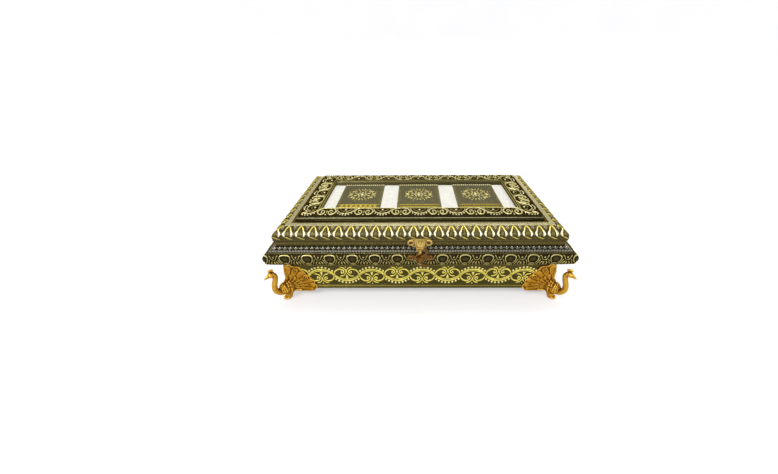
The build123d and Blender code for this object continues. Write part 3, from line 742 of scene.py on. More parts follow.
def scallop():
    half = Motif()
    outer = curve([(-9.4, 15.8), (-8.2, 10.6), (-4.6, 5.9), (0, 4.6)], 14)
    half.stroke(outer, (1.1, 1.5), 0.5, tone=0.4)
    for u, v in ((1.4, 1.7), (4.3, 2.6), (7.0, 5.2), (9.4, 8.6), (10.6, 12.4)):
        half.bead((-u, v), 1.0, 0.6, tone=0.8)
    inner = curve([(-6.4, 15.9), (-5.2, 12.4), (-2.6, 9.6), (0, 8.8)], 10)
    half.stroke(inner, 0.7, 0.35, shine=0.5)
    whole = mirrored(half)
    whole.bead((0, 12.6), 1.3, 0.8, tone=0.9)
    return whole


def scroll_pair():
    half = Motif()
    line = [(-0.9, 15.6), (-4.4, 16.2), (-8.4, 12.8), (-9.2, 8.0), (-6.8, 3.2), (-3.4, 3.4)]
    line += [(-2.0, 7.4), (-3.4, 11.2), (-5.6, 10.8), (-5.8, 8.0)]
    half.stroke(curve(line, 34), (1.0, 1.8, 1.6, 1.0), 0.55, tone=0.35)
    half.bead((-5.0, 7.0), 1.0, 0.5, tone=0.5)
    whole = mirrored(half)
    whole.bead((0, 2.4), 1.0, 0.5, tone=0.7)
    whole.stroke([(0, 5.6), (0, 9.0), (0, 12.8)], (0.7, 1.9, 0.7), 0.45, shine=0.8)
    return whole


def rail_motif(side, run):
    arch, pair, motif = scallop(), scroll_pair(), Motif()
    for _, u in places(run, RAIL_PITCH):
        motif.stamp(arch, u, RAIL_EDGE)
        motif.stamp(pair, u + RAIL_PITCH / 2, RAIL_EDGE)
    # the inner lines shine less on the back run only: painted shade on the back rail's inner face
    inner = 0.4 if side == "back" else 0.9
    lines = [(3.6, 1.0, 0.7, 0.42), (22.9, 0.8, 0.2, inner), (24.8, 0.8, 0.1, inner)]
    for v, width, tone, shine in (*lines, (26.6, 0.6, 0.0, 0.3), (1.2, 0.9, 0.0, 0.1)):
        motif.line(run, v, width, 0.35, tone, shine)
    return motif


rail.dress("frame_ornament", "lid", rail_motif, frame_metal)

# ---------------------------------------------------------------- panel


def lay_flat(name, motif, level, material):
    """Ornament on a level surface of the lid; its height is given in millimetres."""
    mesh = motif.mesh(name, lambda points: points + (0, 0, level))
    finish_piece(name, "lid", mesh, material)


TILE_NAMES = ("left", "centre", "right")


def rosette():
    petal, pair, bud, dot, flower = (Motif() for _ in range(5))
    petal.stroke([(0, 6.0), (0, 8.2), (0, 10.4)], (1.0, 2.5, 1.1), 0.55, 0.15, tips=(0.3, 0.3))
    for side in (-1, 1):
        line = [(side * 0.6, 10.6), (side * 1.6, 13.2), (side * 2.7, 16.0)]
        pair.stroke(line, (0.9, 2.6, 1.2), 0.55, 0.15, tips=(0.3, 0.3))
    bud.bead((0, 4.6), 1.25, 0.6, tone=0.6)
    dot.bead((0, 12.6), 1.0, 0.5, tone=0.3, shine=0.9)
    dot.bead((0, 16.4), 0.9, 0.45, tone=0.3, shine=0.9)
    flower.bead((0, 0), 2.1, 0.9, tone=1.0, sides=12)
    flower.ring((0, 0), (3.0, 3.0), 0.6, 0.3, shine=0.6)
    for k in range(8):
        for part, turn in ((bud, k), (petal, k + 0.5), (pair, k), (dot, k + 0.5)):
            flower.stamp(part, turn=turn * math.pi / 4)
    return flower


def tile_band(width, rich):
    """The embossed gilt band along a tile's front edge, about the tile's middle."""
    lobe, motif, run = Motif(), Motif(), width - 1.6
    if rich:
        lobe.bead((0, -28.6), 2.5, 0.75, tone=0.25, sides=10, stretch=0.62)
        pitch, lines, finish = 5.15, (-25.4, -31.6), (1.8, 0.5, 0.1)
    else:
        lobe.bead((0, -28.3), 0.9, 0.5, tone=0.2, shine=0.55, sides=6)
        pitch, lines, finish = 2.6, (-25.6, -31.0), (1.7, 0.5, 0.0, 0.8)
    for y in lines:
        motif.line(run - 2, y, *finish)
    motif.row(lobe, run, pitch, pitch / 2, clear=0.4 * pitch)
    return motif


def tile_border(width):
    """Fine lines down a tile's sides and the cream beaded line at its back."""
    motif, bead, half = Motif(), Motif(), width / 2 - 0.7
    ys = np.linspace(-24.6, 28.0, 9)
    for x, shine in ((half, 0.6), (half - 1.8, 0.3)):
        for side in (-1, 1):
            motif.stroke(np.c_[np.full(9, side * x), ys], 0.7, 0.3, shine=shine)
    bead.bead((0, 28.9), 1.25, 0.6, tone=0.9)
    for u in np.linspace(0.6 - half, half - 0.6, 19):
        motif.stamp(bead, u)
    return motif


for place in TILE_NAMES:
    low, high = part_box(f"rosette_tile_{place}")
    top, middle, width = high.z / MM, (low.x + high.x) / 2 / MM, (high.x - low.x) / MM
    flower, band = Motif(), Motif()
    flower.stamp(rosette(), middle, 1.4)
    flower.stamp(tile_border(width), middle)
    band.stamp(tile_band(width, place == "left"), middle)
    lay_flat(f"rosette_{place}", flower, top, tile_metal)
    lay_flat(f"gilt_band_{place}", band, top, band_metal)


def scroll_strip(left, right):
    """A shallow running vine down a white strip, with a curl in each of its bends."""
    middle, motif = (left + right) / 2, Motif()
    reach, wave = (right - left) * 0.17, 13.0
    ys = np.linspace(-37.0, 29.0, 67)
    motif.stroke(np.c_[middle + reach * np.sin(ys * 2 * math.pi / wave), ys], 0.9, 0.3)
    for k in range(10):
        side = 1 if k % 2 else -1
        y = wave * (0.25 + 0.5 * (k - 5))
        curl = spiral((3.0, 2.7), (0.7, 0.7), 1.3) * (side, 1)
        motif.stroke(curl + (middle - side * reach * 0.9, y), (0.9, 0.6), 0.3)
        motif.bead((middle + side * reach * 2.1, y), 0.8, 0.3, sides=6)
    for x in (left + 0.8, right - 0.8):
        motif.stroke(np.c_[np.full(67, x), ys][::6], 0.7, 0.3)
    return motif


def border_motif():
    """A dark strip along the panel's back edge, between the panel's patterns and the frame, with a
    thin gilt line: painted shadow of the back rail.
    """
    motif, line = Motif(), np.linspace(-opening, opening, 33)
    # the rows keep almost no shine, so the strip stays dark as painted shadow
    rows = ((31.5, 2.6, 1.3, 0.02), (34.2, 2.8, 1.9, 0.0), (36.6, 2.2, 2.6, 0.08))
    for y, width, height, shine in rows:
        motif.stroke(np.c_[line, np.full(33, y)], width, height, shine=shine, tips=FULL)
    return motif


panel_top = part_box("panel_sheet")[1].z / MM
tile_edges = [x / MM for place in TILE_NAMES for x, _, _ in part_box(f"rosette_tile_{place}")]
opening = rail.width / 2 - RAIL_WIDTH
edges = [-opening, *tile_edges, opening]
strips = Motif()
for left, right in zip(edges[::2], edges[1::2]):
    strips.stamp(scroll_strip(left, right))
lay_flat("enamel_scrolls", strips, panel_top, white_line)
# a dark strip on the panel that stands for the back rail's shadow: painted shadow
lay_flat("panel_painted_shadow_strip", border_motif(), panel_top, frame_metal)

# ---------------------------------------------------------------- peacock feet

wall_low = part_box("wall_cladding")[0]
CORNER = np.array((wall_low.x, wall_low.y, 0.0)) / MM
OUT = np.array((-1.0, -1.0, 0.0)) / math.sqrt(2)  # out of the front left corner
LATERAL = np.array((1.0, -1.0, 0.0)) / math.sqrt(2)
UP = np.array((0.0, 0.0, 1.0))
FOOT_VOXEL, HOLLOW, WING_THICK = 0.38, 0.24, 1.35


def on_diagonal(out, height, aside=0.0):
    """A point in the bird's upright plane, or beside it."""
    return CORNER + OUT * out + LATERAL * aside + UP * height


def diagonal_line(*spots):
    return [on_diagonal(*spot) for spot in spots]


class Casting:
    """Closed shapes that are fused into one casting, in millimetres."""

    def __init__(self):
        self.points, self.faces, self.count = [], [], 0

    def add(self, points, faces):
        self.points.append(np.asarray(points, float))
        self.faces += [tuple(i + self.count for i in face) for face in faces]
        self.count += len(points)

    def tube(self, path, radii, across, sides=14):
        """A round bar whose path lies square to across, with rounded ends."""
        path = curve(path, 8 * len(path))
        radii = np.interp(np.linspace(0, 1, len(path)), np.linspace(0, 1, len(radii)), radii)
        ahead = np.gradient(path, axis=0)
        ahead /= np.linalg.norm(ahead, axis=1)[:, None]
        caps = ((1.0, 0.06), (0.87, 0.5), (0.5, 0.87))
        first = [(path[0] - ahead[0] * radii[0] * a, ahead[0], radii[0] * b) for a, b in caps]
        last = [(path[-1] + ahead[-1] * radii[-1] * a, ahead[-1], radii[-1] * b) for a, b in caps]
        rings = [*first, *zip(path, ahead, radii), *last[::-1]]
        angles = np.arange(sides) * 2 * math.pi / sides
        points = []
        for centre, way, radius in rings:
            lift = np.cross(way, across)
            ring = np.outer(np.cos(angles), across) + np.outer(np.sin(angles), lift)
            points.append(centre + radius * ring)
        faces = [tuple(range(sides))]
        for i in range(len(rings) - 1):
            for k in range(sides):
                j = (k + 1) % sides
                a, b = i * sides, (i + 1) * sides
                faces.append((a + j, a + k, b + k, b + j))
        top = (len(rings) - 1) * sides
        faces.append(tuple(top + k for k in range(sides))[::-1])
        self.add(np.vstack(points), faces)

    def ellipsoid(self, centre, axes, rings=10, sides=14):
        """axes are three vectors, each as long as the ellipsoid reaches that way."""
        axes = np.asarray(axes, float)
        if np.linalg.det(axes) < 0:
            axes[1] *= -1
        ball = bmesh.new()
        bmesh.ops.create_uvsphere(ball, u_segments=sides, v_segments=rings, radius=1.0)
        points = np.array([v.co for v in ball.verts]) @ axes + centre
        faces = [tuple(v.index for v in f.verts) for f in ball.faces]
        ball.free()
        self.add(points, faces)

    def prism(self, outline, place, low, high):
        """A flat outline given a thickness; place turns (across, up, height) into a point."""
        n = len(outline)
        flat = np.asarray(outline, float)
        points = np.vstack([np.c_[flat, np.full(n, low)], np.c_[flat, np.full(n, high)]])
        faces = [tuple(range(n))[::-1], tuple(n + k for k in range(n))]
        faces += [(k, (k + 1) % n, n + (k + 1) % n, n + k) for k in range(n)]
        self.add(place(points), faces)

    def relief(self, motif, place):
        points, _, _, faces = motif.whole()
        self.add(place(points), faces)

    def fused(self, name, voxel):
        """One mesh over all the shapes."""
        rough = bmesh.new()
        rough.from_mesh(mesh_of("rough", np.vstack(self.points), self.faces))
        bmesh.ops.recalc_face_normals(rough, faces=rough.faces)
        source = bpy.data.meshes.new("rough")
        rough.to_mesh(source)
        rough.free()
        holder = in_scene("rough", source)
        remesh = holder.modifiers.new("fuse", "REMESH")
        remesh.mode, remesh.voxel_size, remesh.adaptivity = "VOXEL", voxel * MM, 0.0
        seen = holder.evaluated_get(bpy.context.evaluated_depsgraph_get())
        mesh = bpy.data.meshes.new_from_object(seen)
        bpy.data.objects.remove(holder)
        mesh.name = name
        return mesh


def spread_over_edges(values, edges, rounds):
    """Each vertex's values averaged with its neighbours', round after round."""
    near = np.zeros(len(values))
    np.add.at(near, edges.ravel(), 1)
    for _ in range(rounds):
        total = values.copy()
        np.add.at(total, edges[:, 0], values[edges[:, 1]])
        np.add.at(total, edges[:, 1], values[edges[:, 0]])
        values = total / (near + 1)[:, None]
    return values


def hollows(mesh):
    """Writes crest: 0 in a hollow, 0.5 on a flat and 1 on a ridge HOLLOW millimetres high."""
    points = values_of(mesh.vertices, "co", 3)
    level = spread_over_edges(points, values_of(mesh.edges, "vertices", 2, int), 12)
    proud = ((points - level) * values_of(mesh.vertices, "normal", 3)).sum(1) / (HOLLOW * MM)
    give(mesh, "crest", np.clip(0.5 + 0.5 * proud, 0, 1))


WING_OUTLINE = [
    *arc((4.0, 38.0), (4.9, 5.0), 160, 40, 7),
    *arc((12.0, 35.6), (4.8, 5.2), 110, 12, 7),
    *arc((16.0, 30.6), (4.2, 4.8), 66, -4, 6),
    *arc((20.2, 25.2), (4.4, 4.6), 78, -6, 6),
    *arc((23.0, 19.0), (5.2, 5.4), 55, -20, 6),
    *arc((24.3, 13.2), (5.4, 5.0), 30, -30, 5),
    *arc((23.4, 11.4), (4.6, 4.2), -10, -90, 6),
    (12.0, 7.2),
    (-2.2, 7.2),
    (-2.2, 34.0),
]
FEATHER_TIPS = [(3.6, 42.4), (12.6, 39.8), (18.6, 33.8), (23.0, 28.6), (26.8, 22.6)]
PLAIN_TIPS = [(28.8, 15.8), (26.4, 10.8)]  # the smooth lobe at the end of the tail
SHOULDER = np.array((1.0, 12.5))


def feather(motif, tip, start, end, width, height, level, ribbed=True, eyed=False):
    """One feather from start to end of the way to tip, smooth or with a midrib or an eye too."""
    way = np.asarray(tip, float) - SHOULDER
    length = math.hypot(*way)
    bend = np.array((-way[1], way[0])) / length
    t = np.linspace(start, end, 12)
    line = SHOULDER + np.outer(t, way) + np.outer(np.sin(t * math.pi) * 0.05 * length, bend)
    blade = Motif()
    blade.stroke(line, (0.35 * width, 0.6 * width, width, width), height, tips=(0.5, 0.12))
    if ribbed:
        blade.stroke(line[2:9], (0.6, 1.0, 0.7), height + 0.45, tips=(0.4, 0.4))
    if eyed:
        eye = line[9]
        blade.ring(eye, (0.27 * width, 0.3 * width), 0.75, height + 0.5, count=12)
        blade.bead(eye, 0.1 * width + 0.2, height + 0.35, sides=6)
    points, crest, tone, faces = blade.whole()
    motif.add(points + (0, 0, level), crest, tone, faces)


def wing():
    motif = Motif()
    for k, tip in enumerate(FEATHER_TIPS):
        feather(motif, tip, 0.3, 0.985, 8.0, 0.9, 1.25, ribbed=False, eyed=k in (1, 3))
    for tip in PLAIN_TIPS:
        feather(motif, tip, 0.42, 0.985, 8.2, 1.15, 1.25, ribbed=False)
    tips = [np.array(t, float) for t in FEATHER_TIPS + PLAIN_TIPS]
    for a, b in zip(tips[:-1], tips[1:]):
        feather(motif, SHOULDER + 0.62 * ((a + b) / 2 - SHOULDER), 0.3, 1.0, 5.6, 0.8, 1.7)
    for tip in tips[:-1]:
        feather(motif, SHOULDER + 0.38 * (tip - SHOULDER), 0.2, 1.0, 4.0, 0.8, 2.2)
    return motif


def on_front_wall(points):
    return np.c_[CORNER[0] + points[:, 0], CORNER[1] - points[:, 2], points[:, 1]]


def on_side_wall(points):
    return np.c_[CORNER[0] - points[:, 2], CORNER[1] + points[:, 0], points[:, 1]]


def add_leg(cast):
    """The leg and its toes."""
    cast.tube(diagonal_line((0.8, 9.5), (2.6, 5.5), (4.6, 1.2)), (5.0, 3.6, 3.7), LATERAL)
    for aside in (-2.5, 0.0, 2.5):
        toe = on_diagonal(7.2 - abs(aside) * 0.4, 1.3, aside)
        cast.ellipsoid(toe, (OUT * 3.2, LATERAL * 1.35, UP * 1.5))


def add_body(cast):
    """The body and the breast, with rows of scales."""
    breast = on_diagonal(5.0, 13.9)
    body = on_diagonal(0.2, 15.4)
    cast.ellipsoid(body, (OUT * 4.8, LATERAL * 7.0, UP * 8.0), 14, 20)
    for aside in (-1, 1):
        for swing in (-40, -8, 24, 56):
            rise = math.radians(swing)
            for far, wide in ((0.72, 1.7), (1.02, 1.3)):
                spot = body + LATERAL * (aside * 6.6 * math.cos(rise) * far)
                spot += UP * (7.6 * math.sin(rise) * far)
                spot += OUT * (4.4 * math.sqrt(max(0.0, 1.0 - 0.9 * far**2)))
                cast.ellipsoid(spot, (OUT * 1.1, LATERAL * wide, UP * wide * 1.2), 6, 10)
    cast.ellipsoid(breast, (OUT * 6.2, LATERAL * 6.4, UP * 6.2), 14, 20)
    for lift, count in ((-12, 9), (8, 9), (28, 8), (47, 6), (64, 4)):
        rise = math.radians(lift)
        pitch = 19 / max(0.4, math.cos(rise))
        for k in range(count):
            swing = math.radians((k - (count - 1) / 2) * pitch)
            level = OUT * math.cos(swing) + LATERAL * math.sin(swing)
            way = level * math.cos(rise) + UP * math.sin(rise)
            lower = np.cross(way, np.cross(UP, way))
            lower /= np.linalg.norm(lower)
            axes = (np.cross(way, lower) * 1.1, lower * 1.4, way * 0.95)
            cast.ellipsoid(breast + way * 6.1 - lower * 0.3, axes, 6, 8)


def add_head(cast):
    """The neck with its collar, and the head with beak, crest and eyes."""
    neck = [(3.0, 11.0), (8.4, 10.6), (12.6, 12.6), (15.4, 17.6), (15.0, 23.4), (13.0, 29.0)]
    neck += [(12.0, 34.0), (13.6, 37.6)]
    cast.tube(diagonal_line(*neck), (4.2, 3.5, 3.2, 3.0, 2.8, 2.7, 2.6, 2.5), LATERAL)
    cast.ellipsoid(on_diagonal(15.8, 37.3), (OUT * 3.4 - UP * 0.5, LATERAL * 2.9, UP * 3.0))
    beak = diagonal_line((18.2, 37.4), (20.6, 36.6), (22.5, 34.9))
    cast.tube(beak, (1.5, 0.9, 0.4), LATERAL, 10)
    cast.tube(diagonal_line((18.2, 36.1), (21.2, 34.9)), (1.0, 0.45), LATERAL, 8)
    for k in range(5):
        way = math.radians(140 - 18 * k)
        reach = np.array((math.cos(way), math.sin(way)))
        root = np.array((15.4, 39.2))
        plume = diagonal_line(*(root + reach * d for d in (0.2, 2.1, 3.8)))
        cast.tube(plume, (0.55, 0.6, 1.05), LATERAL, 8)
    for aside in (-2.5, 2.5):
        eye = on_diagonal(16.8, 37.9, aside)
        cast.ellipsoid(eye, (OUT * 0.9, LATERAL * 0.7, UP * 0.9), 6, 8)
    # collar rings where the neck leaves the breast
    for out, height in ((8.0, 11.2), (9.6, 11.6)):
        for k in range(14):
            a = k * math.pi / 7
            centre = on_diagonal(out, height + 3.45 * math.sin(a), 3.45 * math.cos(a))
            cast.ellipsoid(centre, (OUT * 0.6, LATERAL * 0.6, UP * 0.6), 5, 6)


def set_down(mesh):
    """Stands the foot flat on the floor and closely round the tray's corner."""
    points = values_of(mesh.vertices, "co", 3) / MM
    points[:, 2] = np.maximum(points[:, 2], 0.0)
    into = points[:, :2] - CORNER[:2]
    inside = (into.min(1) > 0) & (points[:, 2] > wall_low.z / MM)
    nearer = into.argmin(1)
    for axis in (0, 1):
        caught = inside & (nearer == axis)
        points[caught, axis] = CORNER[axis]
    mesh.vertices.foreach_set("co", (points * MM).ravel())
    mesh.update()


def peacock_foot():
    """The front left foot as one mesh."""
    cast, feathers = Casting(), wing()
    for place in (on_front_wall, on_side_wall):
        cast.prism(WING_OUTLINE, place, 0.0, WING_THICK)
        cast.relief(feathers, place)
    lug = [(-2.2, -2.2), (12.0, -2.2), (12.0, 12.0), (-2.2, 12.0)]
    cast.prism(lug, lambda p: np.c_[CORNER[0] + p[:, 0], CORNER[1] + p[:, 1], p[:, 2]], 8.0, 10.0)
    add_leg(cast)
    add_body(cast)
    add_head(cast)
    mesh = cast.fused("peacock_foot", FOOT_VOXEL)
    set_down(mesh)
    hollows(mesh)
    return mesh


def place_feet():
    pattern = peacock_foot()
    for end, flip_y in (("front", 1), ("back", -1)):
        for hand, flip_x in (("left", 1), ("right", -1)):
            name = f"peacock_{end}_{hand}"
            mesh = pattern.copy()
            mesh.name = name
            mesh.transform(Matrix.Diagonal((flip_x, flip_y, 1, 1)))
            if flip_x * flip_y < 0:
                mesh.flip_normals()
            piece = finish_piece(name, "base", mesh, brass, 80)
            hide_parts(f"peacock_foot_{end}_{hand}")
    bpy.data.meshes.remove(pattern)


place_feet()

# ---------------------------------------------------------------- clasp


def lay_upright(name, body, motif, face, material):
    """Ornament (x, z, height) on an upright face towards the front, at y = face."""
    mesh = motif.mesh(name, lambda p: np.c_[p[:, 0], face - p[:, 2], p[:, 1]])
    finish_piece(name, body, mesh, material)


keeper_low, keeper_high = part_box("keeper_pins")
latch_low, latch_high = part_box("latch_pins")
plate_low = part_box("keeper_plate")[0]
PIN_HEAD = 0.5  # how far the pins' heads stand out of their plate
keeper_z = (keeper_low.z + keeper_high.z) / 2 / MM
latch_z = (latch_low.z + latch_high.z) / 2 / MM
keeper_face = keeper_low.y / MM + PIN_HEAD
# a ridge down each edge of the sloping hood, and a raised lily on it
hood_top = np.array((0.0, keeper_face, keeper_z + 4.7))
hood_lip = np.array((0.0, plate_low.y / MM + 4.3, keeper_z - 1.2))
hood_up = (hood_top - hood_lip) / np.linalg.norm(hood_top - hood_lip)
hood_axes = np.array(((1.0, 0.0, 0.0), hood_up, np.cross((1.0, 0.0, 0.0), hood_up)))
keeper, latch, hood = Motif(), Motif(), Motif()
for sign in (-1, 1):
    ear = (sign * (keeper_high.x / MM - 1.6), keeper_z)
    keeper.ring(ear, (2.6, 2.6), 1.5, 0.7, count=20)
    latch.ring((sign * (latch_high.x / MM - 1.6), latch_z), (2.2, 2.2), 0.8, 0.5, count=20)
    hood.stroke([(sign * 3.2, 0.3), (sign * 4.3, 5.0), (sign * 5.3, 9.6)], 0.9, 0.5)
    petal = curve([(sign * 0.5, 1.6), (sign * 1.9, 4.0), (sign * 2.2, 6.6)], 8)
    hood.stroke(petal, (0.7, 1.3, 0.7), 0.45)
for x, z in ((5.4, keeper_z + 4.1), (7.4, keeper_z - 4.1)):
    keeper.stroke([(-x, z), (0, z), (x, z)], 0.8, 0.5)
latch.ring((0, latch_z), (4.5, 4.5), 0.8, 0.45, count=28)
hood.stroke([(0, 2.0), (0, 5.0), (0, 8.0)], (0.6, 1.4, 0.6), 0.45)
hood.stroke([(-3.0, 0.5), (0, 0.5), (3.0, 0.5)], 0.8, 0.5)
lay_upright("keeper_trim", "lid", keeper, keeper_face, clasp_metal)
hood_mesh = hood.mesh("hood_trim", lambda points: hood_lip + points @ hood_axes)
finish_piece("hood_trim", "lid", hood_mesh, clasp_metal)
lay_upright("latch_trim", "base", latch, latch_low.y / MM + PIN_HEAD, dark_clasp_metal)

# ---------------------------------------------------------------- velvet

PAD_STEP, PAD_EDGE, PAD_GAP, PUFF_FRAMES = 4.0, 0.7, 0.05, 20


def pad_lines(length):
    """Where the grid lines of a pad lie, with one close to each edge so that it stays square."""
    inner = length / 2 - PAD_EDGE
    lines = np.linspace(-inner, inner, max(8, round(length / PAD_STEP)))
    return np.r_[-length / 2, lines, length / 2] * 2 / length


def padded_form(size, edge, middle, pull, roll):
    """A crowned closed form as points (u, v, height) and faces, flat at height 0.

    size is its two lengths, edge and middle its thickness there, pull how far its sides come in
    between its corners, and roll how soon it rises from its edge.
    """
    u, v = np.meshgrid(*(pad_lines(length) for length in size))
    nv, nu = (lines - 1 for lines in u.shape)
    x = u * (size[0] / 2 - pull * (1 - v**2))
    y = v * (size[1] / 2 - pull * (1 - u**2))
    rise = (1 - np.exp((np.abs(u) - 1) * size[0] / 2 / roll)) * (
        1 - np.exp((np.abs(v) - 1) * size[1] / 2 / roll)
    )
    wave = [noise.noise(Vector((a * 0.035, b * 0.05, size[0]))) for a, b in zip(x.flat, y.flat)]
    height = edge + (middle - edge) * rise * (1 + 0.22 * np.reshape(wave, rise.shape))
    front = np.c_[x.ravel(), y.ravel(), height.ravel()]
    count, row = len(front), nu + 1
    points = np.vstack([front, front * (1, 1, 0)])
    faces = []
    for j in range(nv):
        for i in range(nu):
            a = j * row + i
            faces.append((a, a + 1, a + row + 1, a + row))
            faces.append(tuple(count + k for k in (a, a + row, a + row + 1, a + 1)))
    rim = [*range(row), *range(2 * row - 1, count, row)]
    rim += [*range(count - 2, count - row - 1, -1), *range(count - 2 * row, 0, -row)]
    for a, b in zip(rim, rim[1:] + rim[:1]):
        faces.append((a, count + a, count + b, b))
    return points, faces, rim, count


def puffed(mesh, held, most):
    """Blows the mesh up by a cloth simulation, and no further than most millimetres."""
    holder = in_scene("pad", mesh)
    holder.vertex_groups.new(name="held").add(held, 1.0, "REPLACE")
    cloth = holder.modifiers.new("cloth", "CLOTH")
    cloth.settings.vertex_group_mass = "held"
    cloth.settings.use_pressure = True
    cloth.settings.uniform_pressure_force = 4.0
    cloth.settings.effector_weights.gravity = 0.0
    cloth.point_cache.frame_start, cloth.point_cache.frame_end = 1, PUFF_FRAMES
    for step in range(1, PUFF_FRAMES + 1):
        bpy.context.scene.frame_set(step)
    seen = holder.evaluated_get(bpy.context.evaluated_depsgraph_get()).data
    start = values_of(mesh.vertices, "co", 3)
    move = values_of(seen.vertices, "co", 3) - start
    far, limit = np.linalg.norm(move, axis=1), most * MM
    move *= (limit * np.tanh(far / limit) / np.maximum(far, 1e-9))[:, None]
    mesh.vertices.foreach_set("co", (start + move).ravel())
    mesh.update()
    bpy.context.scene.frame_set(1)
    bpy.data.objects.remove(holder)


def upholster(node, body, normal, edge, middle, pull, roll=5.0, puff=0.0):
    """A velvet pad in a CAD slab's place, backed on the face that normal points away from."""
    low, high = (np.array(corner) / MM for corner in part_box(node))
    normal = np.array(normal, float)
    up = np.array((0.0, 1.0, 0.0)) if normal[2] else np.array((0.0, 0.0, 1.0))
    across = np.cross(up, normal)
    span = high - low
    size = (abs(span @ across) - 2 * PAD_GAP, abs(span @ up) - 2 * PAD_GAP)
    centre = (low + high) / 2 - normal * abs(span @ normal) / 2
    points, faces, rim, count = padded_form(size, edge, middle, pull, roll)
    name = "velvet_" + node
    mesh = mesh_of(name, centre + points @ np.array((across, up, normal)), faces)
    if puff:
        puffed(mesh, [*rim, *range(count, 2 * count)], puff)
    piece = finish_piece(name, body, mesh, red_velvet, 89)
    smooth = piece.modifiers.new("smooth", "SUBSURF")
    smooth.levels = smooth.render_levels = 1
    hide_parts(node)


upholster("floor_pad", "base", (0, 0, 1), 1.6, 3.2, 0.1, roll=9.0, puff=1.4)
upholster("lid_pad", "lid", (0, 0, -1), 1.3, 2.6, 0.1, roll=9.0, puff=1.2)
for side, (x, y) in INWARD.items():
    upholster(f"lining_{side}", "base", (x, y, 0), 1.45, 2.1, 0.0)


def lid_edge_velvet():
    """A soft band round the inside of the lid's edge."""
    (_, _, bottom), (far_x, far_y, top) = (np.array(at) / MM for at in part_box("lid_edge_lining"))
    profile = [(0.0, 0.05), (0.0, 0.5), (0.0, 0.995), (1.4, 0.995), (1.5, 0.8), (1.75, 0.55)]
    profile += [(1.7, 0.3), (1.45, 0.1), (1.0, 0.03), (0.4, 0.0)]
    radius, steps, points = 2.0, 5, []
    between = np.linspace(0, 1, 42)[1:-1]
    for thick, rise in profile:
        ring = []
        for x, y, start in ((1, 1, 0), (-1, 1, 90), (-1, -1, 180), (1, -1, 270)):
            centre = (x * (far_x - radius), y * (far_y - radius))
            ring += arc(centre, (radius - thick, radius - thick), start, start + 90, steps)
        ring = np.c_[ring, np.full(len(ring), bottom + rise * (top - bottom))]
        for k, one in enumerate(ring):
            points.append(one)
            if k % steps == steps - 1:
                points += [one + (ring[(k + 1) % len(ring)] - one) * t for t in between]
    rows = len(profile)
    n = len(points) // rows
    faces = []
    for j in range(rows):
        a, b = j * n, (j + 1) % rows * n
        faces += [(a + i, b + i, b + (i + 1) % n, a + (i + 1) % n) for i in range(n)]
    mesh = mesh_of("velvet_lid_edge", points, faces)
    piece = finish_piece("velvet_lid_edge", "lid", mesh, red_velvet, 89)
    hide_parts("lid_edge_lining")


lid_edge_velvet()

# ---------------------------------------------------------------- CAD nodes that stay


def dress_node(name, material, bevel=0.0):
    """Gives a CAD node its material, and rounds its edges by bevel millimetres."""
    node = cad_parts[name]
    node.data.materials.clear()
    node.data.materials.append(material)
    if bevel:
        node.modifiers.new("weld", "WELD").merge_threshold = 1e-6
        edge = node.modifiers.new("bevel", "BEVEL")
        edge.width, edge.segments, edge.limit_method = bevel * MM, 3, "ANGLE"
        edge.angle_limit = math.radians(35)
        edge.harden_normals = False


dress_node("wall_cladding", wall_metal)
dress_node("rim_cladding", rim_metal)
dress_node("lid_cladding", lid_metal)
dress_node("frame_cladding", frame_metal)
dress_node("panel_sheet", white_ground)
for place in TILE_NAMES:
    dress_node(f"rosette_tile_{place}", tile_metal)
for side in INWARD:
    grain = wood_along_x if side in ("front", "back") else wood_along_y
    for part in ("tray_{}_board", "rim_moulding_{}", "lid_moulding_{}", "frame_rail_{}"):
        dress_node(part.format(side), grain)
dress_node("bottom_board", wood_along_x)
dress_node("lid_board", wood_along_x)
for place in ("left", "right"):
    for part in ("rim_leaf", "lid_leaf", "pin"):
        dress_node(f"hinge_{place}_{part}", fixing_metal, 0.18)
dress_node("foot_pins", brass)
for name in ("hinge_rim_screws", "hinge_lid_screws", "pivot_rivet"):
    dress_node(name, dark_clasp_metal)
for name, bevel in (("latch_pins", 0.2), ("keeper_pins", 0.2), ("latch_plate", 0.25)):
    dress_node(name, dark_clasp_metal, bevel)
dress_node("swing_hook", dark_clasp_metal, 0.5)
dress_node("keeper_plate", clasp_metal, 0.3)

# ---------------------------------------------------------------- stage, light and camera

# the backdrop is a wide bowl; its line is (radius, height) in metres
bowl_line = [(0.6, 0.0), (1.5, 0.0), (1.8, 0.02), (2.05, 0.12), (2.25, 0.32), (2.35, 0.6)]
bowl_line += [(2.4, 1.0), (2.4, 2.6)]
BOWL_SIDES = 64
turns = [k * 2 * math.pi / BOWL_SIDES for k in range(BOWL_SIDES)]
points = [(r * math.cos(turn), r * math.sin(turn), z) for r, z in bowl_line for turn in turns]
faces = [tuple(range(BOWL_SIDES))]
for inner in range(0, len(points) - BOWL_SIDES, BOWL_SIDES):
    outer = inner + BOWL_SIDES
    for k in range(BOWL_SIDES):
        j = (k + 1) % BOWL_SIDES
        faces.append((inner + k, outer + k, outer + j, inner + j))
bowl = bpy.data.meshes.new("backdrop")
bowl.from_pydata(points, [], faces)
bowl.shade_smooth()
backdrop = in_scene("backdrop", bowl)
paper, tree, shader = new_material("backdrop_paper", Roughness=0.9, Specular_IOR_Level=0.0)
shader.inputs["Emission Color"].default_value = (1.0, 1.0, 1.0, 1.0)
shader.inputs["Emission Strength"].default_value = 0.40
clouded = range_of(tree, noise_factor(tree, 6.0), 0.0, 1.0)
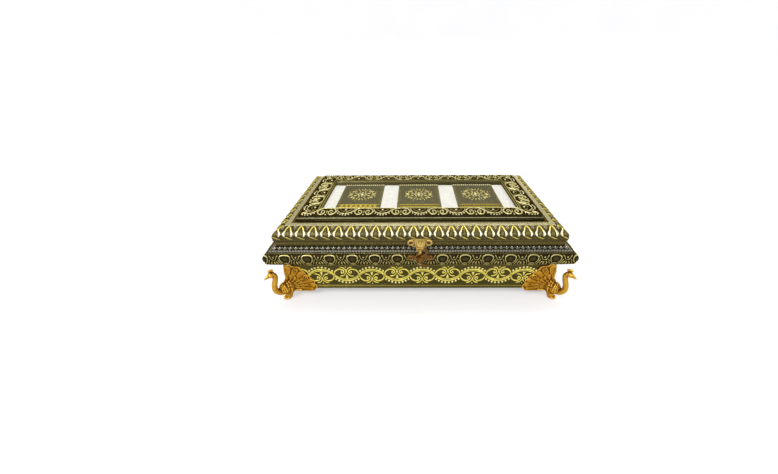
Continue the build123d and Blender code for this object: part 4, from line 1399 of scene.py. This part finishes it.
link(tree, mix(tree, clouded, (0.53, 0.53, 0.54), (0.545, 0.545, 0.55)), shader, "Base Color")
bowl.materials.append(paper)

world = bpy.data.worlds.new("studio")
bpy.context.scene.world = world
world.use_nodes = True
world.node_tree.nodes["Background"].inputs["Color"].default_value = (1.0, 1.0, 1.0, 1.0)
world.node_tree.nodes["Background"].inputs["Strength"].default_value = 0.85


def softbox(name, place, size, watts):
    """A rectangular lamp that faces the box."""
    light = bpy.data.lights.new(name, "AREA")
    light.shape, light.size, light.size_y, light.energy = "RECTANGLE", *size, watts
    lamp = in_scene(name, light)
    lamp.location = place
    lamp.rotation_mode = "QUATERNION"
    lamp.rotation_quaternion = (LIT_POINT - Vector(place)).to_track_quat("-Z", "Y")


LIT_POINT = Vector((0, 0, 0.05))
softbox("key", (-0.7, -0.9, 1.3), (0.7, 0.5), 12)
softbox("top", (0.1, 0.5, 1.5), (1.2, 0.8), 12)
softbox("fill", (1.0, -0.9, 0.7), (0.5, 0.5), 4)

# the camera stands in front of the middle and looks down at the lid
SENSOR, IMAGE_WIDTH, FOCAL_PIXELS = 36.0, 778, 295.2
EYE = Vector((-5.5, -316.2, 229.9)) * MM
PITCH, YAW, ROLL = (math.radians(a) for a in (32.45, -0.5, 0.42))
ahead = Vector((math.sin(YAW) * math.cos(PITCH), math.cos(YAW) * math.cos(PITCH), -math.sin(PITCH)))
level = Vector((math.cos(YAW), -math.sin(YAW), 0))
down = ahead.cross(level)
right = math.cos(ROLL) * level + math.sin(ROLL) * down
down = math.cos(ROLL) * down - math.sin(ROLL) * level
lens = bpy.data.cameras.new("camera")
lens.sensor_width = SENSOR
lens.lens = FOCAL_PIXELS * SENSOR / IMAGE_WIDTH
lens.shift_x = -0.0296
lens.clip_start, lens.clip_end = 0.01, 20
camera = in_scene("camera", lens)
turned = Matrix((right, -down, -ahead)).transposed().to_4x4()
camera.matrix_world = Matrix.Translation(EYE) @ turned
bpy.context.scene.camera = camera
bpy.context.scene.view_settings.view_transform = "Standard"
